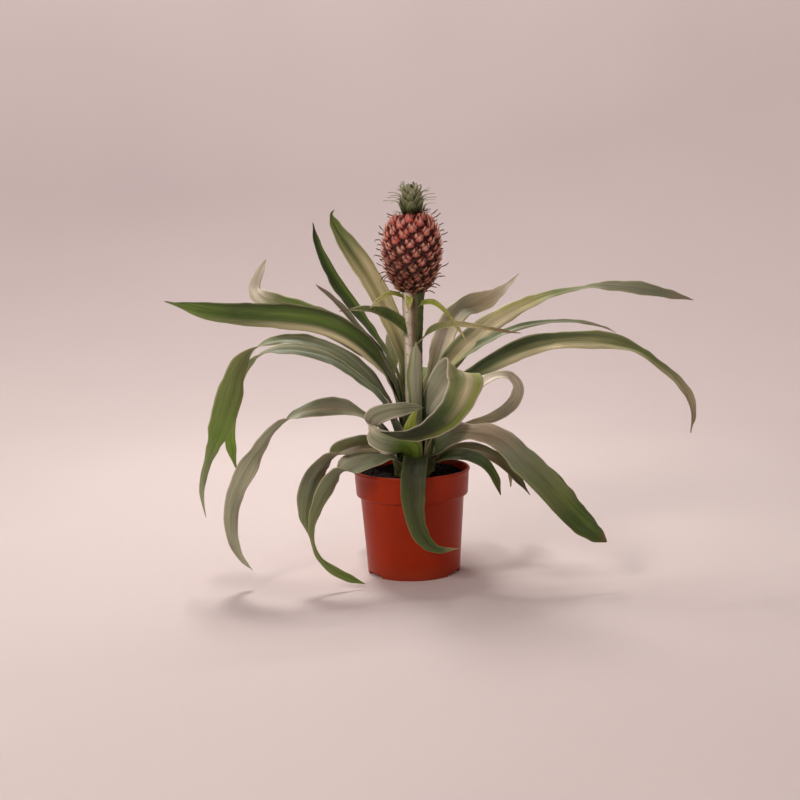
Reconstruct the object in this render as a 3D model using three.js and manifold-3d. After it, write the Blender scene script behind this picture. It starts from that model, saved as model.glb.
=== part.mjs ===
// Potted ornamental pineapple plant. Millimetres, +Z up, origin in the middle of the pot's underside,
// the side with the hanging front leaf faces -Y.
import * as THREE from "three";
import { mergeVertices } from "three/addons/utils/BufferGeometryUtils.js";
import Module from "manifold-3d";

const wasm = await Module();
wasm.setup();

// Pot
const POT_HEIGHT = 109;
const POT_BASE_RADIUS = 48;
const POT_NECK_RADIUS = 53.8;
const POT_NECK_HEIGHT = 80;
const RIM_LOW_RADIUS = 57.8;
const RIM_TOP_RADIUS = 60;
const RIM_LOW_HEIGHT = 82.5;
const POT_WALL = 1.2;
const POT_FLOOR = 1.6;
const POT_SIDES = 48;
const NOTCH_AZIMUTHS = [211, 331, 91];
const NOTCH_WIDTH = 25;
const NOTCH_HEIGHT = 3.5;
const NOTCH_INNER_RADIUS = 43.5;

// Soil
const GAP = 0.3;
const SOIL_HEIGHT = 99;
const SOIL_LUMP = 0.9;
const COLLAR_RADIUS = 24.3;
const COLLAR_FLOOR = 94;
const TRUNK_HOLE_FLOOR = 60;

// Stem: trunk in the soil, then the fruit stalk, with a slight lean to +X
const STEM_X = 3.2;
const STEM_LEAN = 0.016;
const STEM_RADII = [
  [TRUNK_HOLE_FLOOR + GAP, 8.5],
  [COLLAR_FLOOR, 10.2],
  [150, 9.7],
  [200, 8.7],
  [245, 8.3],
  [272, 8.6],
  [292, 10.5],
];
const STEM_SIDES = 20;
const STEM_TOP = 291;
const BRACT_SHAPE = { cup: 40, baseArc: 50, baseLength: 6, columns: 2, step: 13 };

// Leaves: nested rings round the stem, ring 0 innermost
const RING_RADIUS = 10.9;
const RING_STEP = 1.4;
const BLADE_THICKNESS = 0.8;
const BLADE_COLUMNS = 3;
const STATION_STEP = 19;
const CLEARANCE = 0.32;

// Fruit
const FRUIT_BASE = 291;
const FRUIT_HEIGHT = 78;
const FRUIT_RADIUS = 27.4;
const FRUIT_X = 6.2;
const FRUITLETS = 110;
const GOLDEN_ANGLE = THREE.MathUtils.degToRad(137.508);
const FRUITLET_RISE = 3.0;
const SPINE_LENGTH = 7.5;
const SPINE_EVERY = 2;
const SHOULDER_PLACE = 0.55;
const SHOULDER_RISE = 0.72;

// Crown
const CROWN_BASE = FRUIT_BASE + FRUIT_HEIGHT + GAP;
const CROWN_HEIGHT = 36;
const CROWN_LEAVES = 21;

const rad = THREE.MathUtils.degToRad;
const smooth = (t) => t * t * (3 - 2 * t);
const clamp01 = (t) => Math.min(Math.max(t, 0), 1);
const mix = (a, b, t) => a + (b - a) * t;
const stemX = (z) => STEM_X + STEM_LEAN * (z - SOIL_HEIGHT);

function ramp(table, x) {
  for (let i = 1; i < table.length; i++) {
    if (x <= table[i][0]) {
      const t = clamp01((x - table[i - 1][0]) / (table[i][0] - table[i - 1][0]));
      return mix(table[i - 1][1], table[i][1], t);
    }
  }
  return table[table.length - 1][1];
}

function solidOf(geometry) {
  const bare = geometry.clone();
  bare.deleteAttribute("normal");
  bare.deleteAttribute("uv");
  const merged = mergeVertices(bare, 1e-4);
  const triVerts = [];
  const index = merged.index.array;
  for (let i = 0; i < index.length; i += 3) {
    const [a, b, c] = [index[i], index[i + 1], index[i + 2]];
    if (a !== b && b !== c && c !== a) triVerts.push(a, b, c);
  }
  return new wasm.Manifold(
    new wasm.Mesh({
      numProp: 3,
      vertProperties: new Float32Array(merged.attributes.position.array),
      triVerts: new Uint32Array(triVerts),
    }),
  );
}

function solidFrom(points, triangles) {
  return new wasm.Manifold(
    new wasm.Mesh({
      numProp: 3,
      vertProperties: new Float32Array(points.flatMap((p) => [p.x, p.y, p.z])),
      triVerts: new Uint32Array(triangles.flat()),
    }),
  );
}

// The solid of a closed shell whose triangles all turn the same way, in or out
function facingOut(points, triangles) {
  const solid = solidFrom(points, triangles);
  return solid.volume() > 0 ? solid : solidFrom(points, triangles.map(([a, b, c]) => [a, c, b]));
}

function geometryOf(solid) {
  const mesh = solid.getMesh();
  const geometry = new THREE.BufferGeometry();
  const positions = new Float32Array(mesh.numVert * 3);
  for (let i = 0; i < mesh.numVert; i++) {
    for (let k = 0; k < 3; k++) positions[3 * i + k] = mesh.vertProperties[i * mesh.numProp + k];
  }
  geometry.setAttribute("position", new THREE.BufferAttribute(positions, 3));
  geometry.setIndex(Array.from(mesh.triVerts));
  geometry.computeVertexNormals();
  return geometry;
}

function largestBody(solid) {
  const bodies = solid.decompose();
  return bodies.reduce((best, body) => (body.volume() > best.volume() ? body : best));
}

// Turns a profile of [radius, height] pairs, outside first and upward, round the z axis
function turned(profile, sides) {
  const points = profile.map(([r, z]) => new THREE.Vector2(r, z));
  const geometry = new THREE.LatheGeometry(points, sides);
  geometry.rotateX(Math.PI / 2);
  return geometry;
}

function blockAt(size, centre, azimuth) {
  const geometry = new THREE.BoxGeometry(...size);
  geometry.translate(...centre);
  geometry.rotateZ(rad(azimuth));
  return geometry;
}

const root = new THREE.Group();
root.name = "potted_pineapple_plant";

function add(name, geometry, colour, roughness) {
  const material = new THREE.MeshStandardMaterial({ color: colour, roughness, metalness: 0 });
  material.name = name;
  const mesh = new THREE.Mesh(geometry, material);
  mesh.name = name;
  root.add(mesh);
}

// Pot

const innerRim = RIM_TOP_RADIUS - POT_WALL - 0.6;
const innerRimLow = RIM_LOW_RADIUS - POT_WALL;
const innerNeck = POT_NECK_RADIUS - POT_WALL;
const innerBase = POT_BASE_RADIUS - POT_WALL + 0.1;

function makePot() {
  const shell = turned(
    [
      [0, 0],
      [POT_BASE_RADIUS - 1, 0],
      [POT_BASE_RADIUS, 1],
      [POT_NECK_RADIUS, POT_NECK_HEIGHT],
      [RIM_LOW_RADIUS - 0.4, RIM_LOW_HEIGHT - 0.3],
      [RIM_LOW_RADIUS, RIM_LOW_HEIGHT + 0.6],
      [RIM_TOP_RADIUS - 0.7, POT_HEIGHT - 2.2],
      [RIM_TOP_RADIUS, POT_HEIGHT - 1.6],
      [RIM_TOP_RADIUS - 0.2, POT_HEIGHT - 0.3],
      [RIM_TOP_RADIUS - 0.9, POT_HEIGHT],
      [innerRim + 0.2, POT_HEIGHT - 0.4],
      [innerRim, POT_HEIGHT - 1.4],
      [innerRimLow, RIM_LOW_HEIGHT + 1],
      [innerNeck, POT_NECK_HEIGHT + 0.2],
      [innerBase, POT_FLOOR],
      [0, POT_FLOOR],
    ],
    POT_SIDES,
  );
  let pot = solidOf(shell);
  for (const azimuth of NOTCH_AZIMUTHS) {
    const depth = POT_BASE_RADIUS + 2 - NOTCH_INNER_RADIUS;
    const centre = [NOTCH_INNER_RADIUS + depth / 2, 0, NOTCH_HEIGHT / 2 - 1];
    pot = pot.subtract(solidOf(blockAt([depth, NOTCH_WIDTH, NOTCH_HEIGHT + 2], centre, azimuth)));
  }
  return geometryOf(pot);
}

// Soil, with a collar round the leaf bases and a deeper hole for the trunk

function soilLump(x, y) {
  const alongX = Math.sin(x * 0.31 + 1.7 * Math.sin(y * 0.17));
  const alongY = Math.cos(y * 0.37 + 1.3 * Math.sin(x * 0.23));
  return (SOIL_LUMP * (alongX + alongY)) / 2;
}

function makeSoil() {
  const wallGap = GAP + 0.1;
  const topRadii = [56.6, 49, 40, 32, COLLAR_RADIUS];
  const profile = [
    [0, POT_FLOOR + wallGap],
    [innerBase - wallGap - 0.1, POT_FLOOR + wallGap],
    [innerNeck - wallGap, POT_NECK_HEIGHT],
    [innerRimLow - wallGap - 0.2, RIM_LOW_HEIGHT + 1],
    ...topRadii.map((r) => [r, SOIL_HEIGHT]),
    [COLLAR_RADIUS, COLLAR_FLOOR],
    [RING_RADIUS, COLLAR_FLOOR],
    [RING_RADIUS - 0.3, TRUNK_HOLE_FLOOR],
    [0, TRUNK_HOLE_FLOOR],
  ];
  const geometry = turned(profile, 32);
  const position = geometry.attributes.position;
  for (let i = 0; i < position.count; i++) {
    const [x, y, z] = [position.getX(i), position.getY(i), position.getZ(i)];
    const r = Math.hypot(x, y);
    if (z > SOIL_HEIGHT - 0.01) {
      const mound = 2.2 * clamp01((45 - r) / 22);
      position.setZ(i, z + soilLump(x, y) - 1 + mound);
    }
    if (r <= COLLAR_RADIUS + 0.01 && z >= TRUNK_HOLE_FLOOR - 0.01) {
      position.setX(i, x + stemX(Math.max(z, COLLAR_FLOOR)));
    }
  }
  return geometryOf(solidOf(geometry));
}

// A blade is swept along a spline of hand-placed spine points. Each row holds x, y, z, the blade's
// width there and the direction in which its width runs; the section is an arc, hollow on the inner face.

function alongSpine(rows, length) {
  const curve = new THREE.CatmullRomCurve3(
    rows.map((row) => new THREE.Vector3(row[0], row[1], row[2])),
    false,
    "centripetal",
  );
  curve.arcLengthDivisions = 400;
  const total = curve.getLength();
  const count = Math.max(2, Math.round(total / length));
  const stations = [];
  for (let k = 0; k <= count; k++) {
    const t = curve.getUtoTmapping(k / count);
    const place = Math.min(Math.floor(t * (rows.length - 1)), rows.length - 2);
    const blend = smooth(clamp01(t * (rows.length - 1) - place));
    const value = (n) => mix(rows[place][n], rows[place + 1][n], blend);
    const tangent = curve.getTangent(t).normalize();
    const across = new THREE.Vector3(value(4), value(5), value(6));
    across.addScaledVector(tangent, -across.dot(tangent)).normalize();
    stations.push({
      point: curve.getPoint(t),
      across,
      normal: new THREE.Vector3().crossVectors(tangent, across),
      width: value(3),
      distance: (total * k) / count,
      share: k / count,
    });
  }
  return stations;
}

function blade(shape, grow) {
  const { rows, cup, baseArc, baseLength, wave = 0, columns = BLADE_COLUMNS, step = STATION_STEP } = shape;
  const stations = alongSpine(rows, step);
  const points = [];
  for (const station of stations) {
    const settle = smooth(clamp01(station.distance / baseLength));
    const arc = rad(mix(baseArc, cup, settle));
    const width = station.width + 2 * grow;
    const start = station.share === 0 ? -grow : station.share === 1 ? grow : 0;
    const shift = new THREE.Vector3().crossVectors(station.across, station.normal).multiplyScalar(start);
    for (const face of [0, 1]) {
      for (let j = 0; j <= columns; j++) {
        const u = (2 * j) / columns - 1;
        const angle = (u * arc) / 2;
        const radius = width / arc;
        const ripple = wave * u * u * Math.sin(station.distance / 14 + (u > 0 ? 1.3 : 0));
        const offset = face === 0 ? grow : -BLADE_THICKNESS - grow;
        const x = radius * Math.sin(angle) - offset * Math.sin(angle);
        const height = radius * (1 - Math.cos(angle)) + offset * Math.cos(angle) + ripple;
        const point = station.point.clone().add(shift);
        points.push(point.addScaledVector(station.across, x).addScaledVector(station.normal, height));
      }
    }
  }
  const row = 2 * (columns + 1);
  const at = (k, face, j) => k * row + face * (columns + 1) + j;
  const triangles = [];
  const quad = (a, b, c, d) => triangles.push([a, b, c], [a, c, d]);
  for (let k = 0; k < stations.length - 1; k++) {
    for (let j = 0; j < columns; j++) {
      quad(at(k, 0, j), at(k + 1, 0, j), at(k + 1, 0, j + 1), at(k, 0, j + 1));
      triangles.push([at(k, 1, j), at(k + 1, 1, j + 1), at(k + 1, 1, j)]);
      triangles.push([at(k, 1, j), at(k, 1, j + 1), at(k + 1, 1, j + 1)]);
    }
    quad(at(k, 1, 0), at(k + 1, 1, 0), at(k + 1, 0, 0), at(k, 0, 0));
    quad(at(k, 0, columns), at(k + 1, 0, columns), at(k + 1, 1, columns), at(k, 1, columns));
  }
  const last = stations.length - 1;
  for (let j = 0; j < columns; j++) {
    quad(at(0, 0, j), at(0, 0, j + 1), at(0, 1, j + 1), at(0, 1, j));
    quad(at(last, 0, j), at(last, 1, j), at(last, 1, j + 1), at(last, 0, j + 1));
  }
  return { points, triangles };
}

function bladeSolid(shape, grow = 0) {
  const { points, triangles } = blade(shape, grow);
  return facingOut(points, triangles);
}

// The leaves, inner ones first
const LEAVES = [
  {
    name: "leaf_upright_left", ring: 0, azimuth: 185, start: 110, leave: 170, baseWidth: 14,
    cup: 44, wave: 0, tone: "dark",
    rows: [
      [-12, 8, 204, 17, -0.1, -1, 0],
      [-25, 18, 229, 17, -0.2, -1, -0.1],
      [-41, 26, 253, 17, -0.4, -0.8, -0.1],
      [-56, 34, 274, 17, -0.6, -0.7, -0.2],
      [-71, 42, 295, 16, -0.7, -0.6, -0.3],
      [-84, 50, 319, 12, -0.8, -0.5, -0.3],
      [-93, 58, 341, 8, -0.8, -0.5, -0.2],
      [-97, 64, 362, 1.5, -0.8, -0.5, -0.2],
    ],
  },
  {
    name: "leaf_upright_back", ring: 0, azimuth: 102, start: 112, leave: 180, baseWidth: 15,
    cup: 40, wave: 0, tone: "grey",
    rows: [
      [-1, 18, 212, 20, -0.8, -0.5, 0],
      [-8, 23, 236, 21, -0.9, -0.4, -0.1],
      [-18, 30, 262, 22, -0.9, -0.3, -0.2],
      [-30, 38, 289, 23, -0.9, -0.3, -0.3],
      [-44, 46, 313, 23, -0.8, -0.3, -0.4],
      [-60, 54, 337, 21, -0.8, -0.3, -0.4],
      [-73, 60, 358, 13, -0.8, -0.4, -0.3],
      [-77, 60, 370, 4, -0.7, -0.5, 0],
      [-73, 56, 375, 1.5, -0.5, -0.5, 0.5],
    ],
  },
  {
    name: "leaf_clasp", ring: 0, azimuth: 277, start: 112, leave: 180, baseWidth: 15,
    cup: 95, wave: 0, tone: "grey",
    rows: [
      [5.5, -10.6, 205, 18, 1, 0, 0],
      [7, -10.3, 225, 14, 1, 0, 0],
      [8, -10, 241, 1.5, 1, 0, 0],
    ],
  },
  {
    name: "leaf_folded_left", ring: 1, azimuth: 150, start: 108, leave: 165, baseWidth: 18,
    cup: 36, wave: 0, tone: "grey",
    rows: [
      [-25, 12, 212, 23, -0.1, -0.8, -0.4],
      [-50, 18, 238, 27, -0.3, -0.4, -0.8],
      [-80, 25, 256, 28, -0.3, -0.35, -0.85],
      [-111, 32, 270, 26, -0.3, -0.35, -0.85],
      [-138, 38, 280, 22, -0.3, -0.45, -0.8],
      [-154, 44, 287, 19, -0.4, -0.5, -0.7],
      [-160, 52, 296, 13, -0.8, -0.6, -0.3],
      [-155, 62, 311, 9, -0.9, -0.5, -0.2],
      [-148, 70, 325, 1.5, -0.9, -0.4, -0.3],
    ],
  },
  {
    name: "leaf_narrow_left", ring: 1, azimuth: 222, start: 108, leave: 150, baseWidth: 13,
    cup: 40, wave: 0, tone: "grey",
    rows: [
      [-14, -6, 195, 13, -0.3, -0.9, -0.1],
      [-31, -1, 228, 10, -0.3, -0.9, -0.3],
      [-49, 3, 253, 9, -0.3, -0.8, -0.4],
      [-63, 6, 271, 9, -0.4, -0.8, -0.4],
      [-78, 8, 287, 8, -0.4, -0.7, -0.5],
      [-93, 9, 300, 1.5, -0.4, -0.7, -0.5],
    ],
  },
  {
    name: "leaf_fold_back_right", ring: 1, azimuth: 64, start: 108, leave: 165, baseWidth: 14,
    cup: 40, wave: 0, tone: "grey",
    rows: [
      [26, 22, 202, 20, -0.6, 0.7, 0.2],
      [35, 31, 229, 26, -0.7, 0.6, 0.3],
      [45, 41, 253, 26, -0.6, 0.6, 0.5],
      [57, 51, 266, 25, -0.3, 0.6, 0.7],
      [71, 59, 272, 25, 0, 0.4, 0.9],
      [85, 66, 275, 21, 0, 0.4, 0.9],
      [98, 72, 282, 13, -0.1, 0.4, 0.9],
      [111, 76, 292, 6, -0.1, 0.5, 0.8],
      [122, 80, 302, 1.5, 0, 0.5, 0.8],
    ],
  },
  {
    name: "leaf_mid_right", ring: 1, azimuth: 0, start: 106, leave: 150, baseWidth: 14,
    cup: 40, wave: 0, tone: "grey",
    rows: [
      [31, 9, 195, 16, -0.2, 1, 0.1],
      [54, 12, 220, 15, -0.2, 0.9, 0.3],
      [78, 14, 235, 12, -0.2, 0.8, 0.4],
      [107, 15, 247.5, 10, -0.2, 0.8, 0.5],
      [135, 16, 253.5, 8, -0.1, 0.8, 0.5],
      [161, 16, 255, 7, 0, 0.8, 0.5],
      [186, 16, 252.5, 6, 0, 0.8, 0.5],
      [203, 16, 247.5, 4, 0, 0.8, 0.5],
      [216, 16, 241, 1.5, 0, 0.8, 0.5],
    ],
  },
  {
    name: "leaf_far_left", ring: 2, azimuth: 198, start: 106, leave: 158, baseWidth: 20,
    cup: 34, wave: 0, tone: "dark",
    rows: [
      [-22, -12, 205, 22, 0, -0.7, -0.5],
      [-40, -20, 233, 22, 0, -0.4, -0.85],
      [-60, -26, 251.5, 24, 0, -0.3, -0.95],
      [-84, -30, 264, 25, 0, -0.3, -0.95],
      [-117, -36, 271.5, 26, 0, -0.3, -0.95],
      [-156, -42, 275, 24, 0, -0.3, -0.95],
      [-195, -48, 280, 19, 0.1, -0.3, -0.95],
      [-239, -54, 292, 1.5, 0.2, -0.4, -0.9],
    ],
  },
  {
    name: "leaf_long_right_top", ring: 2, azimuth: 15, start: 105, leave: 148, baseWidth: 22,
    cup: 36, wave: 0, tone: "grey",
    rows: [
      [30, 12, 190, 24, -0.2, 0.8, 0.4],
      [48, 17, 221, 25, -0.4, 0.6, 0.6],
      [72, 24, 242.5, 25, -0.4, 0.5, 0.7],
      [97, 32, 258.5, 22, -0.3, 0.5, 0.8],
      [124, 40, 271, 17, -0.2, 0.6, 0.7],
      [156, 50, 281, 12, 0, 0.8, 0.5],
      [189, 58, 286, 8, 0, 0.9, 0.3],
      [219, 66, 286, 13, 0, 0.5, 0.8],
      [250, 72, 282, 16, 0, 0.4, 0.9],
      [281, 78, 275, 11, 0, 0.4, 0.9],
      [310, 84, 267, 1.5, 0, 0.5, 0.8],
    ],
  },
  {
    name: "leaf_back_high", ring: 2, azimuth: 107, start: 106, leave: 150, baseWidth: 21,
    cup: 38, wave: 0, tone: "grey",
    rows: [
      [1, 24, 196, 21, -1, -0.1, 0],
      [-3, 46, 222, 20, -1, -0.1, 0.1],
      [-9, 80, 238, 21, -1, -0.1, 0.1],
      [-14, 118, 232, 20, -1, -0.1, 0.1],
      [-17, 152, 206, 15, -1, -0.1, 0.1],
      [-18, 172, 170, 1.5, -1, -0.1, 0.1],
    ],
  },
  {
    name: "leaf_arch_left", ring: 3, azimuth: 208, start: 104, leave: 140, baseWidth: 24,
    cup: 40, wave: 1, tone: "green",
    rows: [
      [-20, -13, 176, 24, 0, -1, -0.2],
      [-45, -19, 211, 22, -0.1, -0.8, -0.5],
      [-69, -23, 232, 19, -0.1, -0.7, -0.6],
      [-101, -27, 245.5, 15, -0.1, -0.7, -0.6],
      [-129, -30, 248, 12.5, -0.1, -0.8, -0.5],
      [-152, -34, 242, 14, -0.4, -0.8, -0.2],
      [-170, -38, 222, 21, -0.8, -0.5, 0],
      [-181, -42, 192, 28, -1, -0.2, 0.2],
      [-191, -44, 163, 24, -1, 0, 0.2],
      [-199, -45, 144, 14, -1, 0.1, 0.1],
      [-206, -46, 126, 8, -1, 0.2, 0.1],
      [-212, -46, 100, 6, -1, 0.3, 0],
      [-209, -46, 72, 1.5, -1, 0.3, 0],
    ],
  },
  {
    name: "leaf_fold_front", ring: 3, azimuth: 350, start: 106, leave: 134, baseWidth: 24,
    cup: 30, wave: 0, tone: "grey",
    rows: [
      [19, -6, 168, 28, -0.4, 0.85, 0.3],
      [31, -8, 189, 36, -0.7, 0.6, 0.35],
      [42, -11, 203, 39, -0.8, 0.45, 0.36],
      [52, -18, 210.5, 39, -0.9, 0.3, 0.32],
      [57, -29, 204, 37, -0.95, 0.12, 0.28],
      [51, -39, 187.5, 33, -0.97, 0, 0.26],
      [40, -46.5, 172, 28, -0.93, 0, 0.37],
      [25, -52, 161, 24, -0.9, 0, 0.44],
      [9, -56, 154, 17, -0.9, 0, 0.42],
      [-8, -57, 152, 10, -0.86, 0.05, 0.5],
      [-31, -55, 156, 1.5, -0.7, 0.1, 0.7],
    ],
  },
  {
    name: "leaf_heart", ring: 3, azimuth: 279, start: 106, leave: 128, baseWidth: 13,
    cup: 50, wave: 0, tone: "green",
    rows: [
      [2, -20, 142, 17, 0.95, 0.1, -0.2],
      [0, -26, 152, 15, 0.95, 0.1, -0.2],
      [2, -30, 163, 10, 0.95, 0.1, -0.2],
      [7, -30, 174, 1.2, 0.9, 0.1, -0.3],
    ],
  },
  {
    name: "leaf_back_mid", ring: 3, azimuth: 84, start: 103, leave: 128, baseWidth: 24,
    cup: 38, wave: 1.2, tone: "grey",
    rows: [
      [12, 28, 166, 24, -1, 0.2, 0],
      [17, 50, 190, 24, -1, 0.2, 0.1],
      [24, 82, 200, 25, -1, 0.2, 0.1],
      [31, 118, 190, 23, -1, 0.2, 0.1],
      [36, 148, 160, 17, -1, 0.2, 0.1],
      [38, 166, 120, 1.5, -1, 0.2, 0.1],
    ],
  },
  {
    name: "leaf_arch_left_back", ring: 4, azimuth: 160, start: 104, leave: 138, baseWidth: 24,
    cup: 40, wave: 0, tone: "grey",
    rows: [
      [-30, 18, 180, 22, 0, -0.9, -0.4],
      [-53, 28, 202, 22, -0.1, -0.8, -0.5],
      [-78, 38, 219, 20, -0.1, -0.7, -0.6],
      [-104, 46, 227, 18, -0.1, -0.7, -0.7],
      [-131, 52, 229.5, 16, -0.1, -0.7, -0.6],
      [-155, 56, 225, 15, -0.4, -0.8, -0.2],
      [-174, 58, 208, 14, -0.7, -0.6, 0],
      [-187, 58, 182, 13, -0.9, -0.4, 0.1],
      [-193, 58, 153, 14, -1, -0.2, 0.1],
      [-193, 57, 127, 12, -1, 0, 0],
      [-188, 56, 101, 2, -1, 0, 0],
    ],
  },
  {
    name: "leaf_curl_right", ring: 4, azimuth: 62, start: 104, leave: 132, baseWidth: 22,
    cup: 40, wave: 0, tone: "grey",
    rows: [
      [44, 26, 166, 18, -0.4, 0.9, 0.1],
      [70, 36, 185, 17, -0.4, 0.8, 0.3],
      [93, 45, 196, 16, -0.2, 0.8, 0.4],
      [110, 55, 191, 16, 0.4, 0.7, 0.4],
      [116, 63, 176, 16, 0.9, 0.4, 0.2],
      [109, 67, 161, 16, 0.8, 0.3, -0.4],
      [91, 66, 150, 14, 0.3, 0.4, -0.8],
      [72, 62, 145.5, 9, 0, 0.4, -0.9],
      [55, 58, 143, 1.5, 0, 0.4, -0.9],
    ],
  },
  {
    name: "leaf_loop_left", ring: 4, azimuth: 250, start: 104, leave: 118, baseWidth: 25,
    cup: 26, wave: 0, tone: "grey",
    rows: [
      [-2, -27, 133, 26, 0.8, -0.2, 0.5],
      [-14, -38, 140, 26, 0.4, -0.2, 0.9],
      [-27, -42, 143, 25, 0, 0, 1],
      [-37, -40, 148, 23, 0, 0, 1],
      [-42, -34, 156.5, 20, 0, 0, 1],
      [-38, -30, 166, 20, 0, 0, 1],
      [-27, -28.5, 171, 19, 0, 0, 1],
      [-12, -27, 173.5, 16, 0, 0, 1],
      [2, -21, 174, 10, 0, 0, 1],
      [15, -19.5, 174, 1.2, 0, 0, 1],
    ],
  },
  {
    name: "leaf_low_left", ring: 5, azimuth: 199, start: 103, leave: 124, baseWidth: 28,
    cup: 40, wave: 3, tone: "grey",
    rows: [
      [-30, -12, 155, 23, 0, -1, -0.2],
      [-48, -17, 167, 19, 0, -0.8, -0.5],
      [-69, -29, 177, 19, 0, -0.7, -0.7],
      [-92, -48, 181, 18, -0.2, -0.6, -0.7],
      [-113, -54, 176.5, 17, -0.4, -0.6, -0.6],
      [-134, -58, 162, 14, -0.6, -0.6, -0.1],
      [-150, -60, 144, 17, -0.8, -0.4, 0.3],
      [-164, -62, 124, 21, -0.9, -0.2, 0.3],
      [-176, -62, 100, 18, -1, -0.1, 0.2],
      [-182, -62, 76, 15, -1, -0.1, 0],
      [-181, -60, 52, 11, -1, 0, -0.1],
      [-173, -58, 31, 7, -1, 0, -0.3],
      [-163, -56, 18, 1.5, -0.9, 0, -0.4],
    ],
  },
  {
    name: "leaf_long_right", ring: 5, azimuth: 350, start: 103, leave: 126, baseWidth: 26,
    cup: 36, wave: 2.2, tone: "dark",
    rows: [
      [38, 5, 173, 23, -0.2, 1, 0.2],
      [65, 6, 202, 22, -0.3, 0.7, 0.5],
      [93, 0, 219, 22, -0.3, 0.5, 0.7],
      [123, -10, 232, 22, -0.2, 0.4, 0.8],
      [155, -22, 239, 20, 0, 0.4, 0.8],
      [182, -32, 240, 19, 0, 0.4, 0.8],
      [206, -42, 237, 17, 0.2, 0.5, 0.7],
      [230, -48, 228.5, 14, 0.4, 0.6, 0.5],
      [249, -52, 215, 10, 0.6, 0.5, 0.4],
      [266, -56, 199, 9, 0.8, 0.5, 0.3],
      [277, -58, 180, 9, 0.9, 0.4, 0.2],
      [280, -60, 165, 7, 1, 0.3, 0],
      [278, -60, 147, 1.5, 1, 0.3, 0],
    ],
  },
  {
    name: "leaf_under_right", ring: 6, azimuth: 345, start: 102, leave: 118, baseWidth: 20,
    cup: 40, wave: 0, tone: "grey",
    rows: [
      [38, -12, 125, 17, 0.1, 0.8, 0.5],
      [54, -20, 130, 16, 0.1, 0.7, 0.7],
      [71, -28, 129, 15, 0.2, 0.7, 0.7],
      [88, -33, 121, 14, 0.4, 0.6, 0.6],
      [104, -37, 105, 12, 0.6, 0.6, 0.5],
      [119, -39, 84, 1.5, 0.6, 0.7, 0.3],
    ],
  },
  {
    name: "leaf_front", ring: 6, azimuth: 268, start: 102, leave: 114, baseWidth: 26,
    cup: 36, wave: 1, tone: "dark",
    rows: [
      [5, -33, 125, 25, 1, 0, 0],
      [3, -52, 121, 25, 1, 0, 0],
      [1, -66, 110, 25, 1, 0, 0],
      [0, -72, 93, 24, 1, 0.1, 0],
      [1, -74, 76, 21, 1, 0.1, 0],
      [5, -75, 59, 18, 0.9, 0.1, 0.3],
      [13, -75, 46, 13, 0.6, 0.1, 0.8],
      [24, -74, 39, 8, 0.2, 0.1, 1],
      [45, -72, 39, 1.2, 0, 0.1, 1],
    ],
  },
  {
    name: "leaf_back_side", ring: 6, azimuth: 56, start: 102, leave: 116, baseWidth: 26,
    cup: 40, wave: 1.2, tone: "grey",
    rows: [
      [36, 34, 129, 24, -0.7, 0.7, 0],
      [56, 52, 133, 22, -0.7, 0.7, 0.1],
      [80, 76, 128, 22, -0.7, 0.7, 0.1],
      [98, 98, 118, 19, -0.7, 0.7, 0.1],
      [108, 112, 88, 12, -0.7, 0.7, 0.1],
      [111, 118, 60, 1.5, -0.7, 0.7, 0.1],
    ],
  },
  {
    name: "leaf_short_left", ring: 7, azimuth: 214, start: 101, leave: 116, baseWidth: 28,
    cup: 40, wave: 2, tone: "grey",
    rows: [
      [-26, -27, 136, 25, 0, -0.9, -0.3],
      [-47, -37, 141, 25, 0, -0.8, -0.6],
      [-68, -46, 137, 25, -0.4, -0.7, -0.6],
      [-85, -54, 125, 26, -0.7, -0.6, -0.2],
      [-97, -60, 112, 26, -0.85, -0.5, 0],
      [-103, -64, 96, 24, -0.95, -0.3, 0],
      [-106, -66, 77, 17, -1, -0.1, 0],
      [-104, -66, 52, 1.5, -1, 0, 0],
    ],
  },
  {
    name: "leaf_broad_right", ring: 7, azimuth: 322, start: 101, leave: 116, baseWidth: 30,
    cup: 32, wave: 1.5, tone: "green",
    rows: [
      [31, -21, 139, 27, -0.3, 0.7, 0.6],
      [47, -30, 149, 23, -0.3, 0.6, 0.75],
      [62, -40, 150.5, 16, -0.2, 0.6, 0.75],
      [77, -47, 149, 22, 0.1, 0.6, 0.75],
      [93, -54, 140, 33, 0.3, 0.7, 0.5],
      [109, -61, 125, 38, 0.4, 0.7, 0.4],
      [127, -69, 106, 39, 0.5, 0.7, 0.4],
      [146, -76, 85, 36, 0.5, 0.6, 0.5],
      [163, -82, 67, 30, 0.5, 0.6, 0.6],
      [178, -87, 54, 20, 0.5, 0.6, 0.6],
      [189, -90, 46, 4, 0.5, 0.6, 0.6],
    ],
  },
  {
    name: "leaf_back_left", ring: 7, azimuth: 128, start: 101, leave: 114, baseWidth: 29,
    cup: 40, wave: 1.2, tone: "grey",
    rows: [
      [-18, 32, 127, 26, -0.8, -0.6, 0],
      [-31, 50, 131, 24, -0.8, -0.6, 0.1],
      [-43, 74, 127, 24, -0.8, -0.6, 0.1],
      [-51, 98, 110, 21, -0.85, -0.5, 0.1],
      [-56, 116, 86, 15, -0.9, -0.4, 0.1],
      [-57, 124, 58, 1.5, -0.9, -0.4, 0.1],
    ],
  },
  {
    name: "leaf_floor_left", ring: 8, azimuth: 236, start: 100.5, leave: 110, baseWidth: 28,
    cup: 40, wave: 0.6, tone: "grey",
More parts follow.
